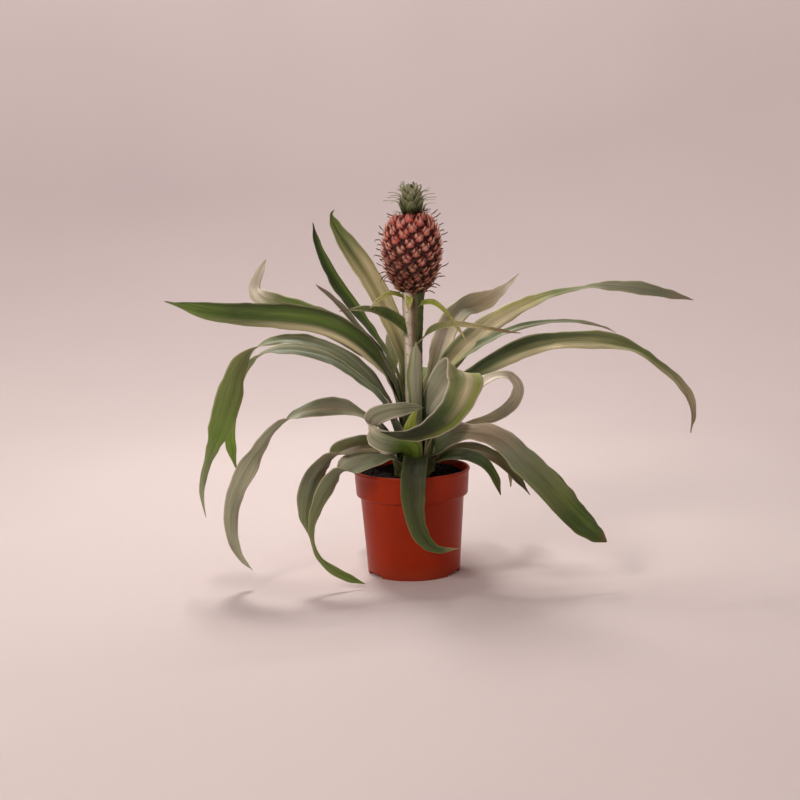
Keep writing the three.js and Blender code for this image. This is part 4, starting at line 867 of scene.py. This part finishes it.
def blade(patch, rows, cup, base_arc, base_length, stops, wave=0.0, columns=12, spacing=2.6, seed=0,
          thickness=BLADE_THICKNESS, still=0.0):
    """A strap leaf with two skins and a thin margin, added to a patchwork. base_arc and cup are its arch
    across in degrees, at the stem end and from base_length on. stops holds the colours of the upper face,
    the lower face and the margin, and the bands on each face. still is the length with an even width."""
    table = np.array(rows, float)
    reach = np.linalg.norm(np.diff(table[:, :3], axis=0), axis=1).sum()
    samples = max(int(reach / spacing), 8)
    points, tangents, values, distance = spline(rows, samples)
    side = unit(values[:, 1:4] - (values[:, 1:4] * tangents).sum(1)[:, None] * tangents)
    normal = np.cross(tangents, side)
    freedom = smooth((distance - still) / LOOSENING)[:, None]
    uneven = 1 + freedom[:, 0] * wavers(distance, seed, WIDTH_BENDS)
    width = values[:, 0] * uneven * np.sqrt(np.clip((distance[-1] - distance) / TIP_TAPER, 0.02, 1))
    base = smooth(distance / base_length)
    arc = np.radians(base_arc * (1 - base) + cup * base)[:, None]
    u = np.linspace(-1, 1, columns + 1)[None, :]
    half = width[:, None] / 2
    across = half * np.sin(u * arc / 2) / (arc / 2)
    high = half * (1 - np.cos(u * arc / 2)) / (arc / 2)
    high = high + wave * u * u * np.sin(distance[:, None] / RIPPLE_STEP + np.where(u > 0, RIPPLE_SHIFT, 0.0))
    frill = np.stack([wavers(distance, seed, [bend]) for bend in FRILL_BENDS], axis=1)
    high = high + freedom * np.where(u > 0, frill[:, :1], frill[:, 1:]) * np.abs(u) ** 3
    ribs = sum(RIB_HEIGHT * np.sin(u * n + p) for n, p in ((9, seed), (17, 2.0 * seed), (31, 0.7)))
    high = high + ribs * np.clip(half / 8, 0, 1) + KEEL * half * freedom * (np.abs(u) ** 0.8 - u * u)
    centre = points[:, None, :] + side[:, None, :] * across[:, :, None]
    upper = centre + normal[:, None, :] * high[:, :, None]
    depth = thickness * (1 - MARGIN_THINNING * np.abs(u) ** 5) * np.clip(half / 3, 0.35, 1)
    lower = upper - normal[:, None, :] * depth[:, :, None]
    loop = np.concatenate([upper, lower[:, ::-1]], axis=1)
    tints = blade_tints(stops, distance, u, seed)
    around = 2 * columns + 2
    sideways = np.concatenate([across, across[:, ::-1] + FACE_SHIFT], axis=1) + seed * LEAF_SHIFT
    places = np.stack([sideways, np.repeat(distance[:, None], around, axis=1)], axis=2)
    start = patch.grid(loop, tints, places, close_rows=True, flip=True)
    patch.cap(start, around)
    patch.cap(start + (samples - 1) * around, around, flip=True)


# Where a leaf comes off its ring: how far its last row in the sheath stands off, and how far beyond it the
# blade eases from the sheath's arch to its own
LEAVING_GAP = 0.6
LEAVING_LENGTH = 22


def make_leaves():
    """Each leaf has three rows of its sheath round the stem, then its own rows."""
    for number, (name, traits) in enumerate(LEAVES.items()):
        ring_radius = RING_RADIUS + RING_STEP * traits["ring"]
        out, side = directions(math.radians(traits["azimuth"]))
        start, leave, width = traits["start"], traits["leave"], traits["base_width"]
        rows = []
        for z, gap in ((start, 0), ((start + leave) / 2, 0), (leave, LEAVING_GAP)):
            reach = ring_radius + gap
            rows.append((stem_x(z) + out[0] * reach, out[1] * reach, z, width, *side))
        rows += with_sides(traits["rows"])
        patch = Patchwork()
        base_arc, sheath = math.degrees(width / ring_radius), leave - start
        blade(
            patch, rows, traits["cup"], base_arc, sheath + LEAVING_LENGTH, traits, traits["wave"],
            seed=3 * number + 1, still=sheath,
        )
        patch.build(name, LEAF, name)


# Fruit

FRUIT_PROFILE = (
    (0, 0.38), (0.06, 0.53), (0.12, 0.65), (0.2, 0.78), (0.3, 0.89), (0.42, 0.97), (0.52, 1), (0.64, 0.99),
    (0.78, 0.91), (0.88, 0.79), (0.95, 0.62), (1, 0.42),
)
FRUITLET_RISE = 3.0
# The fruit's colours up its height: eye for the scales' body, pale for the painted highlights on their tips
# and lumps, partly their real paler tips, and groove for the painted shade in the grooves and at the scales'
# roots, partly the real darker gaps
FRUIT_STOPS = {
    "eye": "cocoa 0, russet 0.2, brick 0.5, rose 0.75, rose 1",
    "pale": "fawn 0, fawn 0.25, pink 0.6, pink 1",
    "groove": "soot 0, wine 0.5, wine 1",
}

# Where the grooves begin between a fruitlet's middle and its edge, and the least and greatest lengths of
# its scales and of a spine, in millimetres
GROOVE_START = 0.55
GROOVE_SPREAD = 0.4
SCALE_POINTS = 9
SEPAL_REACH = (5.2, 6.6)
SEPAL_LIFT = (3.0, 4.2)
BRACT_REACH = (6.0, 7.2)
BRACT_LIFT = (4.0, 5.0)
SPINE_LENGTH = (4.0, 7.4)
SPINELESS = 0.25


def fruit_colours(shares):
    """The scales' eye, pale tip and groove colours at the given shares of the fruit's height."""
    return [eased(FRUIT_STOPS[key], shares) for key in ("eye", "pale", "groove")]


def fruit_radius(share):
    """The fruit's radius at a share of its height."""
    places, sizes = zip(*FRUIT_PROFILE)
    fine = np.linspace(0, 1, 200)
    raw = np.interp(fine, places, sizes)
    rounded = np.convolve(np.pad(raw, 8, mode="edge"), np.ones(17) / 17, mode="valid")
    return FRUIT_RADIUS * np.interp(share, fine, rounded)


def fruit_surface(turn, share, rise):
    """Points on the fruit, raised square to its skin."""
    radius = fruit_radius(share)
    slope = (fruit_radius(share + 0.01) - fruit_radius(share - 0.01)) / (0.02 * FRUIT_HEIGHT)
    steep = np.sqrt(1 + slope ** 2)
    radius = radius + rise / steep
    height = FRUIT_BASE + FRUIT_HEIGHT * share - rise * slope / steep
    return turned(FRUIT_X, radius, turn, height)


def wrapped(angle):
    """The angle between minus half a turn and half a turn."""
    return (angle + math.pi) % (2 * math.pi) - math.pi


def make_fruit():
    """Fruitlets on a golden-angle spiral. Their outlines are the diamonds between the spiral's 8 and 13
    rows, with deep grooves between; each carries a broad pointed bract and two sepals beside its tip."""
    patch = Patchwork()
    step8 = np.array([wrapped(8 * GOLDEN_ANGLE), 8 / FRUITLETS])
    step13 = np.array([wrapped(13 * GOLDEN_ANGLE), 13 / FRUITLETS])
    into_cells = np.linalg.inv(np.stack([step8, step13], axis=1))
    rows, sides = 150, 264
    turn, share = np.meshgrid(full_turn(sides), np.linspace(0, 1, rows))
    cells = np.stack([turn, share - 0.5 / FRUITLETS], axis=-1) @ into_cells.T
    part = cells - np.round(cells)
    outward = np.max(np.abs(part), axis=-1) * 2
    phase = cells[..., 0].round() * 5.1 + cells[..., 1].round() * 3.7
    groove = smooth((outward - GROOVE_START) / GROOVE_SPREAD)
    polar = smooth(share / 0.03) * smooth((1 - share) / 0.03)
    lumps = waver(turn * 55 + share * 31, 0.9, 3, 0.35) + waver(share * 170 + turn * 9, 0.8, 4, 0.35)
    rise = polar * (FRUITLET_RISE * (0.75 - 0.75 * outward ** 1.6) + lumps * (1 - groove) - 0.8 * groove)
    points = fruit_surface(turn, share, rise)
    eye, pale, deep = (colours.reshape(rows, sides, 3) for colours in fruit_colours(share.reshape(-1)))
    tints = eye * (0.45 + 0.25 * np.sin(phase))[..., None]
    # Painted highlights on the raised lumps
    tints = tints + (pale - tints) * np.clip(0.9 * lumps, 0, 1)[..., None] * 0.6
    # Painted shade in the grooves between fruitlets, partly their real darker colour
    tints = tints + (deep - tints) * smooth(groove * 1.4)[..., None]
    patch.grid(points, np.clip(tints, 0, 1), close_rows=True)
    patch.cap(0, sides, flip=True)
    patch.cap((rows - 1) * sides, sides)
    for k in range(1, FRUITLETS - 1):
        fruitlet(patch, k * GOLDEN_ANGLE, (k + 0.5) / FRUITLETS)
    patch.build("fruit_skin", FRUIT, "fruit")


def fruit_scale(patch, turn, share, shift, start, reach, half_width, lift, glow):
    """One pointed scale: arched across, rising from the skin to a tip that stands off. Its colour holds
    painted light: a highlight along its middle and towards its tip, partly the tip's real paler colour,
    and painted shade at its root and towards its margins. Returns the tip."""
    along = np.linspace(0, 1, SCALE_POINTS)[:, None]
    across = np.linspace(-1, 1, SCALE_POINTS)[None, :]
    width = half_width * rng.uniform(0.85, 1.1) * (1 - along ** rng.uniform(1.7, 2.3)) + 0.25
    sideways = shift * (1 + 0.15 * along) + rng.uniform(-1.1, 1.1) * along ** 2 + across * width
    heights = np.clip(share + (start + reach * along * (1 - 0.1 * across ** 2)) / FRUIT_HEIGHT, 0.002, 1.03)
    ridge = 0.6 * np.exp(-(across / 0.25) ** 2)
    rise = 0.4 + lift * along ** 0.75 + ridge - 0.5 * half_width * across ** 2 * (1 - 0.6 * along)
    points = fruit_surface(turn + sideways / float(fruit_radius(share)), heights, rise)
    eye, pale, deep = (colours[0] for colours in fruit_colours([share]))
    painted_highlight = along ** 1.1 + 0.4 * np.exp(-(across / 0.25) ** 2) * along - 0.35 * across ** 2
    pale = pale + (linear(PAINT["straw"]) - pale) * rng.uniform(0, 0.45)
    painted_highlight = np.clip(painted_highlight * glow, 0, 1)[..., None]
    # Painted shade at the scale's root, easing into its own colour
    red = smooth(along * 2.2)[..., None]
    body = deep + (eye - deep) * red
    patch.grid(points, np.clip(body + (pale - body) * painted_highlight, 0, 1))
    return points[-1, SCALE_POINTS // 2]


def fruitlet(patch, turn, share):
    """A bract with two sepals, and on three fruitlets in four a thin spine that bends at its end."""
    # How strong the painted highlights on its scales are: at random, and weaker on the fruit's lower half
    glow = rng.uniform(0.6, 1.5) * (0.7 + 0.3 * min(1, 2 * share))
    turn = turn + rng.uniform(-0.5, 0.5) / float(fruit_radius(share))
    for side in (-1, 1):
        reach, lift = rng.uniform(*SEPAL_REACH), rng.uniform(*SEPAL_LIFT)
        fruit_scale(patch, turn, share, side * 2.1, -2.2, reach, 2.8, lift, glow * 1.1)
    reach, lift = rng.uniform(*BRACT_REACH), rng.uniform(*BRACT_LIFT)
    tip = fruit_scale(patch, turn, share, 0, -5.6, reach, 4.5, lift, glow)
    if rng.random() < SPINELESS:
        return
    out, side = directions(turn)
    size = rng.uniform(*SPINE_LENGTH)
    least, most = (0.3, 1.0) if share > 0.7 else (-0.1, 0.55) if share > 0.3 else (-0.6, 0.3)
    rising = rng.uniform(least, most)
    hook = rng.uniform(-0.5, 0.4)
    sway = rng.uniform(-0.5, 0.5)
    bends = (0, 0.3 * rising, 0.75 * rising, rising + 0.3 * hook, rising + hook)
    root = tip - out * 0.6
    path = [
        root + out * size * far + UP * size * high + side * size * sway * far
        for far, high in zip((0, 0.5, 0.85, 1.0, 0.98), bends)
    ]
    thorn(patch, path, (0.7, 0.6, 0.45, 0.32, 0.1), "blush 0, cocoa 0.3, husk 0.6, soot 1")


def thorn(patch, path, radii, colours, rings=9, sides=6):
    """A thin round tapering tube through the path's points."""
    rows = [(*p, r, 0, 0, 0) for p, r in zip(path, radii)]
    points, tangents, values, distance = spline(rows, rings)
    helper = np.array([0.3, 0.1, 1.0])
    first = unit(np.cross(tangents, helper))
    second = np.cross(tangents, first)
    angles = full_turn(sides)[None, :, None]
    ring = first[:, None, :] * np.cos(angles) + second[:, None, :] * np.sin(angles)
    tube = points[:, None, :] + ring * values[:, 0][:, None, None]
    shades = eased(colours, distance / distance[-1])
    start = patch.grid(tube, shades[:, None, :] * np.ones((1, sides, 1)), close_rows=True)
    patch.cap(start + (rings - 1) * sides, sides)


# Crown

CROWN_LEAVES = 34
CROWN_BRACTS = 24
# Darkest at the foot: shade there is painted shade among the crowded leaf bases
CROWN_STOPS = {
    "upper": "shade 0, fir 0.2, sage 0.4, ash 0.55, ash 0.75, sage 1",
    "lower": "shade 0, fir 0.2, sage 0.4, ash 0.55, ash 0.75, sage 1",
    "edge": "fir 0, sage 0.3, cream 0.55, ash 0.75, sage 1",
}
DRY_STOPS = {"upper": "cocoa 0, husk 1", "lower": "russet 0, husk 1", "edge": "bark 0, husk 1"}


def crown_leaf(patch, k):
    """One short broad leaf of a golden-angle spiral, on the lower turns with a long hair-fine tip. Its form
    is a table of reach, height and width."""
    share = k / (CROWN_LEAVES - 1)
    out, side = directions(k * GOLDEN_ANGLE + rng.uniform(-0.12, 0.12))
    root_height = CROWN_BASE - 1.0 + share * CROWN_HEIGHT * 0.5
    length = (12.5 + 2.0 * share) * rng.uniform(0.92, 1.06)
    width = 11 - 4 * share
    reach = (28 - 17 * smooth((share - 0.35) / 0.65)) * rng.uniform(0.85, 1.08)
    form = (
        (9.4 - 5.2 * share, 0, width),
        (12.4 - 4.8 * share, length * 0.5, width),
        (13.8 - 4.0 * share, length * 0.8, width * 0.6),
        (16.4 - 5.2 * share, length * 0.93, 2.8),
        (reach * 0.8, length * (0.98 + 0.1 * share), 1.9),
        (reach, length * (0.94 + 0.2 * share), 0.9),
    )
    rows = [
        (CROWN_X + out[0] * far, out[1] * far, root_height + high, wide, *side) for far, high, wide in form
    ]
    blade(patch, rows, 66, 90, 5, CROWN_STOPS, columns=8, spacing=1.2, seed=200 + k, thickness=0.6)


def crown_bract(patch, k):
    """One small dry curled bract at the crown's foot, most of them on the right."""
    out, side = directions(rng.gauss(-0.6, 0.9) if k % 3 else k * GOLDEN_ANGLE)
    curl = rng.uniform(0.3, 1.3)
    root = np.array([CROWN_X, 0, CROWN_BASE + rng.uniform(-1.6, 3.4)]) + out * 8.0
    form = (
        (0, 0, 3.4), (3.6, 1.2, 2.6), (7.4, 2.2 * curl, 1.4), (9.8, 3.0 * curl, 0.8), (11.2, 2.4 * curl, 0.3),
    )
    sway = rng.uniform(-0.4, 0.4)
    rows = [(*(root + out * far + UP * high + side * sway * far), wide, *side) for far, high, wide in form]
    blade(patch, rows, 60, 60, 3, DRY_STOPS, columns=4, spacing=1.4, seed=300 + k, thickness=0.4)


def make_crown():
    """Overlapping leaves, dry bracts round their foot, and a plain core that closes the gaps between them."""
    patch = Patchwork()
    for k in range(CROWN_LEAVES):
        crown_leaf(patch, k)
    for k in range(CROWN_BRACTS):
        crown_bract(patch, k)
    heights = np.linspace(CROWN_BASE, CROWN_BASE + CROWN_HEIGHT * 0.84, 14)[:, None]
    places = CROWN_BASE + CROWN_HEIGHT * np.array([0, 0.3, 0.68, 0.84])
    radii = np.interp(heights, places, (7.0, 7.0, 4.2, 0.4))
    core = turned(CROWN_X, radii, full_turn(24), heights)
    patch.grid(core, linear(PAINT["fir"]), close_rows=True)
    patch.build("crown_leaves", LEAF, "crown")


# Stem

STEM_RADII = (
    (60.3, 8.5), (94, 10.2), (150, 9.7), (200, 8.9), (225, 9.1), (241, 9.4), (262, 10.3), (290.7, 11),
)
STALK_BRACTS = (
    ("grey", (
        (5, 0, 247, 16, 0, 1, 0), (-4, -10, 257, 16, -0.3, -0.7, -0.6), (-20, -19, 270, 14, -0.2, -0.5, -0.8),
        (-40, -31, 277, 8, 0, -0.6, -0.8), (-68, -44, 276.5, 1.2, 0, -0.7, -0.7),
    )),
    ("lime", (
        (5, 0, 281, 8, 0, -1, 0), (-5, -7, 287, 6, 0, -0.8, -0.5), (-17, -17, 291, 5, 0, -0.6, -0.8),
        (-29, -25, 285, 4, -0.3, -0.5, -0.8), (-38, -30, 277, 1.2, -0.4, -0.5, -0.8),
    )),
    ("lime", (
        (6, 0, 271, 8, 0, 1, 0), (14, -9, 279, 7, 0, 0.8, 0.5), (26, -18, 281, 6, 0, 0.6, 0.8),
        (37, -24, 273, 5, 0.4, 0.5, 0.8), (48, -26, 258, 4, 0.6, 0.4, 0.6), (58, -26, 242, 1.2),
    )),
    ("tan", (
        (6, 0, 232, 10, 0.8, 0.5, 0), (14, -10, 243, 9, 0.3, 0.9, 0.2), (27, -18, 255, 8, -0.3, 0.6, 0.7),
        (47, -26, 259, 7, 0, 0.5, 0.8), (67, -30, 257, 6), (90, -30, 252, 4, 0, 0.6, 0.8),
        (114, -28, 248, 1.2, 0, 0.7, 0.7),
    )),
    ("lime", ((5, 0, 286, 8, 1, 0, 0), (3, -9, 287, 8), (2, -13.5, 281, 7), (1, -14, 272, 1.2))),
    ("green", ((7, 0, 268, 10, 0.3, 1, 0), (14.5, 0, 276, 9), (17, 0, 286, 6), (19, 0, 296, 1.2))),
    ("lime", ((5, 2, 284, 7, -1, 0, 0), (4, 12, 288, 7), (2, 22, 283, 5), (0, 27, 272, 1.2))),
)
BRACT_STOPS = {
    "lime": dict(
        upper="moss 0, lime 0.4, straw 1", lower="green 0, lime 0.5, straw 1", edge="lime 0, straw 1",
    ),
    "grey": dict(
        upper="green 0, dark 0.4, moss 0.8, bark 1", lower="green 0, dark 0.4, grey 0.8, bark 1",
        edge="moss 0, cream 0.5, clay 1",
    ),
    "tan": dict(
        upper="green 0, moss 0.3, straw 0.6, bark 1", lower="green 0, straw 0.4, straw 0.7, bark 1",
        edge="straw 0, cream 0.5, clay 1",
    ),
    "green": dict(upper="dark 0, moss 1", lower="dark 0, green 0.6, moss 1", edge="straw 0, clay 1"),
}

# The stalk's flutes as depth, number round it and twist a millimetre, and its scars' spacing and ledges
FLUTES = ((0.22, 7, 0.02), (0.12, 17, 0.05))
SCAR_SPACING = 11
LEDGE_HEIGHT = 0.55

# Where the stalk is beige and where brown: azimuth in degrees, half width in radians, and strength. The
# beige on the side towards the lamps is partly painted light, and the dark green on its right partly
# painted shade
STALK_TINTS = (("bone", 222, 0.75, 1), ("umber", 274, 0.3, 0.9))


def make_stem():
    """Round stalk: beige on its left, partly painted light, brown and scaly in front, dark green on its
    right, partly painted shade, with narrow bracts.
    """
    patch = Patchwork()
    rows, sides = 150, 72
    heights = np.linspace(STEM_RADII[0][0], STEM_RADII[-1][0], rows)[:, None]
    angles = full_turn(sides)
    radii = np.interp(heights, *zip(*STEM_RADII))
    flutes = sum(depth * np.sin(count * angles + twist * heights) for depth, count, twist in FLUTES)
    scars = (heights / SCAR_SPACING + angles / (2 * math.pi) * 2) % 1
    ledge = LEDGE_HEIGHT * np.exp(-((scars - 0.9) / 0.06) ** 2) * (0.6 + 0.4 * np.sin(5 * angles))
    radii = radii + flutes + ledge
    lean = stem_x(np.maximum(heights, COLLAR_FLOOR))
    points = turned(lean, radii, angles, heights)
    tints = np.ones((rows, sides, 1)) * linear(PAINT["dark"])
    for colour, azimuth, half_width, strength in STALK_TINTS:
        glow = strength * np.exp(-(wrapped(angles - math.radians(azimuth)) / half_width) ** 2)[..., None]
        tints = tints + (linear(PAINT[colour]) - tints) * glow
    tints = tints + (linear(PAINT["husk"]) - tints) * (ledge / 0.6)[..., None] * 0.55
    start = patch.grid(points, np.clip(tints, 0, 1), close_rows=True)
    patch.cap(start, sides, flip=True)
    patch.cap(start + (rows - 1) * sides, sides)
    for number, (look, path) in enumerate(STALK_BRACTS):
        stops = BRACT_STOPS[look]
        blade(patch, with_sides(path), 40, 50, 6, stops, columns=8, spacing=2.0, seed=400 + 3 * number)
    patch.build("stalk_and_bracts", STALK, "stem")


# Soil

# The trunk's hole, the edge and underside, lumps as height, waves along x and y and phase, the low collar
# round the leaf bases, the rise at the back, the number of loose crumbs, and the heap, in millimetres
HOLE_X = 3
HOLE_RADIUS = 9.5
HOLE_FLOOR = 86.0
SOIL_RADIUS = 56.2
SOIL_UNDERSIDE = 84.0
SKIRT_SIZE = (0.94, 0.94, 1)
SOIL_LUMPS = ((0.7, 0.17, 0.21, 0.4), (0.5, 0.43, 0.37, 1.3), (0.35, 0.9, 1.1, 2.2), (0.25, 2.1, 1.9, 3.1))
COLLAR_HEIGHT = 1.6
COLLAR_RADIUS = 30
COLLAR_WIDTH = 9
BACK_RISE = 3.6
BACK_START = 8
BACK_REACH = 34
CRUMBS = 520
HEAP_PLACE = (22, -33, 104)
HEAP_CRUMBS = 9
HEAP_CRUMB_SIZE = 2.4


def crumb(patch, centre, size, seed, rings=4, sides=6):
    """A lumpy pebble of peat, a few facets round."""
    source = np.random.default_rng(seed)
    polar = np.linspace(0.25, math.pi - 0.25, rings)[:, None]
    radius = size * source.uniform(0.7, 1.2, (rings, sides))
    pebble = turned(0, radius * np.sin(polar), full_turn(sides), 0.7 * radius * np.cos(polar))
    start = patch.grid(pebble + centre, close_rows=True, flip=True)
    patch.cap(start, sides)
    patch.cap(start + (rings - 1) * sides, sides, flip=True)


def back_rise(y):
    """How much higher the peat lies towards the back of the pot."""
    return BACK_RISE * smooth((y - BACK_START) / BACK_REACH)


def make_soil():
    """Uneven peat with loose crumbs, and a small heap of them in front, to the right."""
    patch = Patchwork()
    rings, sides = 78, 200
    radius = np.linspace(HOLE_RADIUS, SOIL_RADIUS, rings)[:, None]
    angles = full_turn(sides)
    x, y = radius * np.cos(angles) + HOLE_X, radius * np.sin(angles)
    lumps = sum(size * np.sin(x * fx + p) * np.sin(y * fy + 1.7 * p) for size, fx, fy, p in SOIL_LUMPS)
    grit = np.random.default_rng(5).uniform(-0.35, 0.35, (rings, sides))
    collar = COLLAR_HEIGHT * np.exp(-((radius - COLLAR_RADIUS) / COLLAR_WIDTH) ** 2)
    height = SOIL_HEIGHT + lumps + grit + collar + back_rise(y)
    x = x - HOLE_X * smooth((radius - 20) / 30)
    points = np.stack([x, y, height], axis=-1)
    skirt = np.stack([x[-1:], y[-1:], np.full((1, sides), SOIL_UNDERSIDE)], axis=-1) * SKIRT_SIZE
    inner = np.stack([x[:1], y[:1], np.full((1, sides), HOLE_FLOOR)], axis=-1)
    patch.grid(np.concatenate([inner, points, skirt, inner]), close_rows=True)
    for k in range(CRUMBS):
        turn = rng.uniform(0, 2 * math.pi)
        far = 55 * math.sqrt(rng.uniform(0.08, 1))
        size = rng.uniform(0.5, 1.5) * (1.5 if k % 23 == 0 else 1)
        across, deep = far * math.cos(turn), far * math.sin(turn)
        crumb(patch, (HOLE_X + across * 0.95, deep * 0.97, SOIL_HEIGHT + 0.8 + back_rise(deep)), size, k)
    heap_x, heap_y, heap_z = HEAP_PLACE
    for k in range(HEAP_CRUMBS):
        place = (heap_x + 2.2 * math.cos(k * 2.4), heap_y + 1.8 * math.sin(k * 2.4), heap_z + 0.7 * k)
        crumb(patch, place, HEAP_CRUMB_SIZE, 900 + k)
    patch.build("peat_surface", PEAT, "soil", tinted=False)


# Pot

# Its section as radius and height in millimetres: from the middle of the underside up the outside, over the
# lip and down the inside to the middle of the floor
POT_SECTION = (
    (0, 0), (30, 0), (43.4, 0), (43.6, 0), (47.6, 0), (48.05, 0.5), (48.2, 3.4), (48.5, 8), (49.4, 22),
    (50.8, 42), (52.4, 64), (53.5, 78.2), (53.9, 80), (54.4, 80.9), (56.6, 81.5), (57.4, 81.9), (57.8, 82.6),
    (57.95, 84), (58.5, 92), (59.1, 101), (59.35, 104.4), (59.9, 105.4), (60.3, 106.6), (60.3, 107.9),
    (59.8, 108.8), (59, 109), (58.2, 108.6), (57.9, 107.6), (57.6, 102), (56.7, 90), (56.4, 83.6),
    (55.2, 82.4), (52.9, 81.6), (52.4, 80), (51.2, 64), (49.6, 42), (48.2, 22), (47.2, 6), (46.6, 2.4),
    (45.8, 1.6), (0, 1.6),
)

# Its three foot notches, in degrees and millimetres. Only the section's first points are lifted by them
NOTCH_AZIMUTHS = (211, 331, 91)
NOTCH_HALF_ANGLE = 15.0
NOTCH_HEIGHT = 3.5
NOTCH_INNER_RADIUS = 43.5
FOOT_POINTS = 12

# The longest stretch between its points in millimetres, its points round, and the least angle of a crease
SECTION_STEP = 6
POT_SIDES = 288
CREASE_ANGLE = 40


def make_pot():
    """Lathed wall with a broad rim band, a rolled lip, a step under the band and three foot notches."""
    dense = [POT_SECTION[0]]
    for (r0, z0), (r1, z1) in zip(POT_SECTION, POT_SECTION[1:]):
        pieces = max(1, int(math.hypot(r1 - r0, z1 - z0) / SECTION_STEP))
        dense += [(r0 + (r1 - r0) * i / pieces, z0 + (z1 - z0) * i / pieces) for i in range(1, pieces + 1)]
    table = np.array(dense[1:-1])
    corners = [a + s * (NOTCH_HALF_ANGLE + e) for a in NOTCH_AZIMUTHS for s in (-1, 1) for e in (-0.05, 0.05)]
    angles = np.sort(np.concatenate([full_turn(POT_SIDES), np.radians(corners)]))
    radius, height = table[:, :1], table[:, 1:]
    notched = np.min([np.abs(wrapped(angles - math.radians(a))) for a in NOTCH_AZIMUTHS], axis=0)
    notched = notched < math.radians(NOTCH_HALF_ANGLE)
    foot = (table[:, 0] > NOTCH_INNER_RADIUS) & (table[:, 1] < 0.6) & (np.arange(len(table)) < FOOT_POINTS)
    height = np.where(foot[:, None] & notched[None, :], NOTCH_HEIGHT, height)
    radius = radius * (1 + 0.0012 * np.sin(2 * angles + 0.6) * smooth(height / 60))
    patch = Patchwork()
    start = patch.grid(turned(0, radius, angles, height), close_rows=True)
    count = len(angles)
    patch.cap(start, count, flip=True)
    patch.cap(start + (len(table) - 1) * count, count)
    pot = patch.build("nursery_pot", POT, "pot", tinted=False)
    crease = pot.modifiers.new("smooth_by_angle", "EDGE_SPLIT")
    crease.split_angle = math.radians(CREASE_ANGLE)


# All the pieces

make_pot()
make_soil()
make_stem()
make_leaves()
make_fruit()
make_crown()

# Background paper and lights

# The paper's section as radius and height in metres: floor and wall in one round sweep, so that every side
# of the plant has paper behind it
SWEEP_SECTION = (
    (0, 0), (0.9, 0), (1.1, 0.01), (1.3, 0.045), (1.5, 0.11), (1.68, 0.205), (1.84, 0.335), (1.97, 0.5),
    (2.07, 0.7), (2.13, 0.93), (2.15, 1.2), (2.15, 2.7),
)


def make_sweep():
    """The paper, its section turned once round the plant."""
    table = np.array(SWEEP_SECTION)
    patch = Patchwork()
    patch.grid(turned(0, table[:, :1], full_turn(96), table[:, 1:]) / MM, close_rows=True)
    patch.piece("paper_sweep", PAPER)


def area_light(name, place, target, size, power, colour):
    """A rectangular softbox at a place, turned to a target."""
    light = bpy.data.lights.new(name, "AREA")
    light.shape = "RECTANGLE"
    light.size, light.size_y = size
    light.energy = power
    light.color = linear(colour)
    lamp = bpy.data.objects.new(name, light)
    lamp.location = place
    lamp.rotation_euler = (Vector(target) - Vector(place)).to_track_quat("-Z", "Y").to_euler()
    bpy.context.scene.collection.objects.link(lamp)


make_sweep()
area_light(
    "back_softbox", place=(-0.24, 0.66, 1.35), target=(0, -0.4, 0), size=(0.4, 0.4), power=16,
    colour="#fffaf5",
)
area_light(
    "front_window", place=(-1.1, -1.45, 1.4), target=(0.1, -0.1, 0.1), size=(0.5, 0.5), power=14,
    colour="#fff5f0",
)
area_light(
    "paper_wash", place=(-0.4, 0.8, 2.2), target=(-0.3, 2.1, 2.0), size=(2.2, 0.8), power=25,
    colour="#fffafa",
)

# Faint light from the room all round

ROOM_COLOUR = "#dcdfe8"
ROOM_STRENGTH = 0.18
world = bpy.data.worlds.new("room")
world.use_nodes = True
room = world.node_tree.nodes["Background"]
room.inputs["Color"].default_value = rgba(ROOM_COLOUR)
room.inputs["Strength"].default_value = ROOM_STRENGTH
bpy.context.scene.world = world
bpy.context.scene.view_settings.view_transform = "Standard"

# Camera

# Its place in metres, how far it looks down and is rolled in degrees, and lens and sensor in millimetres
CAMERA_PLACE = (-0.010, -1.5, 0.400)
CAMERA_PITCH = 8.36
CAMERA_ROLL = 1.6
LENS_LENGTH = 66.24
SENSOR_WIDTH = 36
lens = bpy.data.cameras.new("photo_camera")
lens.sensor_width = SENSOR_WIDTH
lens.lens = LENS_LENGTH
camera = bpy.data.objects.new("photo_camera", lens)
camera.location = CAMERA_PLACE
camera.rotation_euler = (math.radians(90 - CAMERA_PITCH), 0, 0)
camera.rotation_euler.rotate_axis("Z", math.radians(-CAMERA_ROLL))
bpy.context.scene.collection.objects.link(camera)
bpy.context.scene.camera = camera
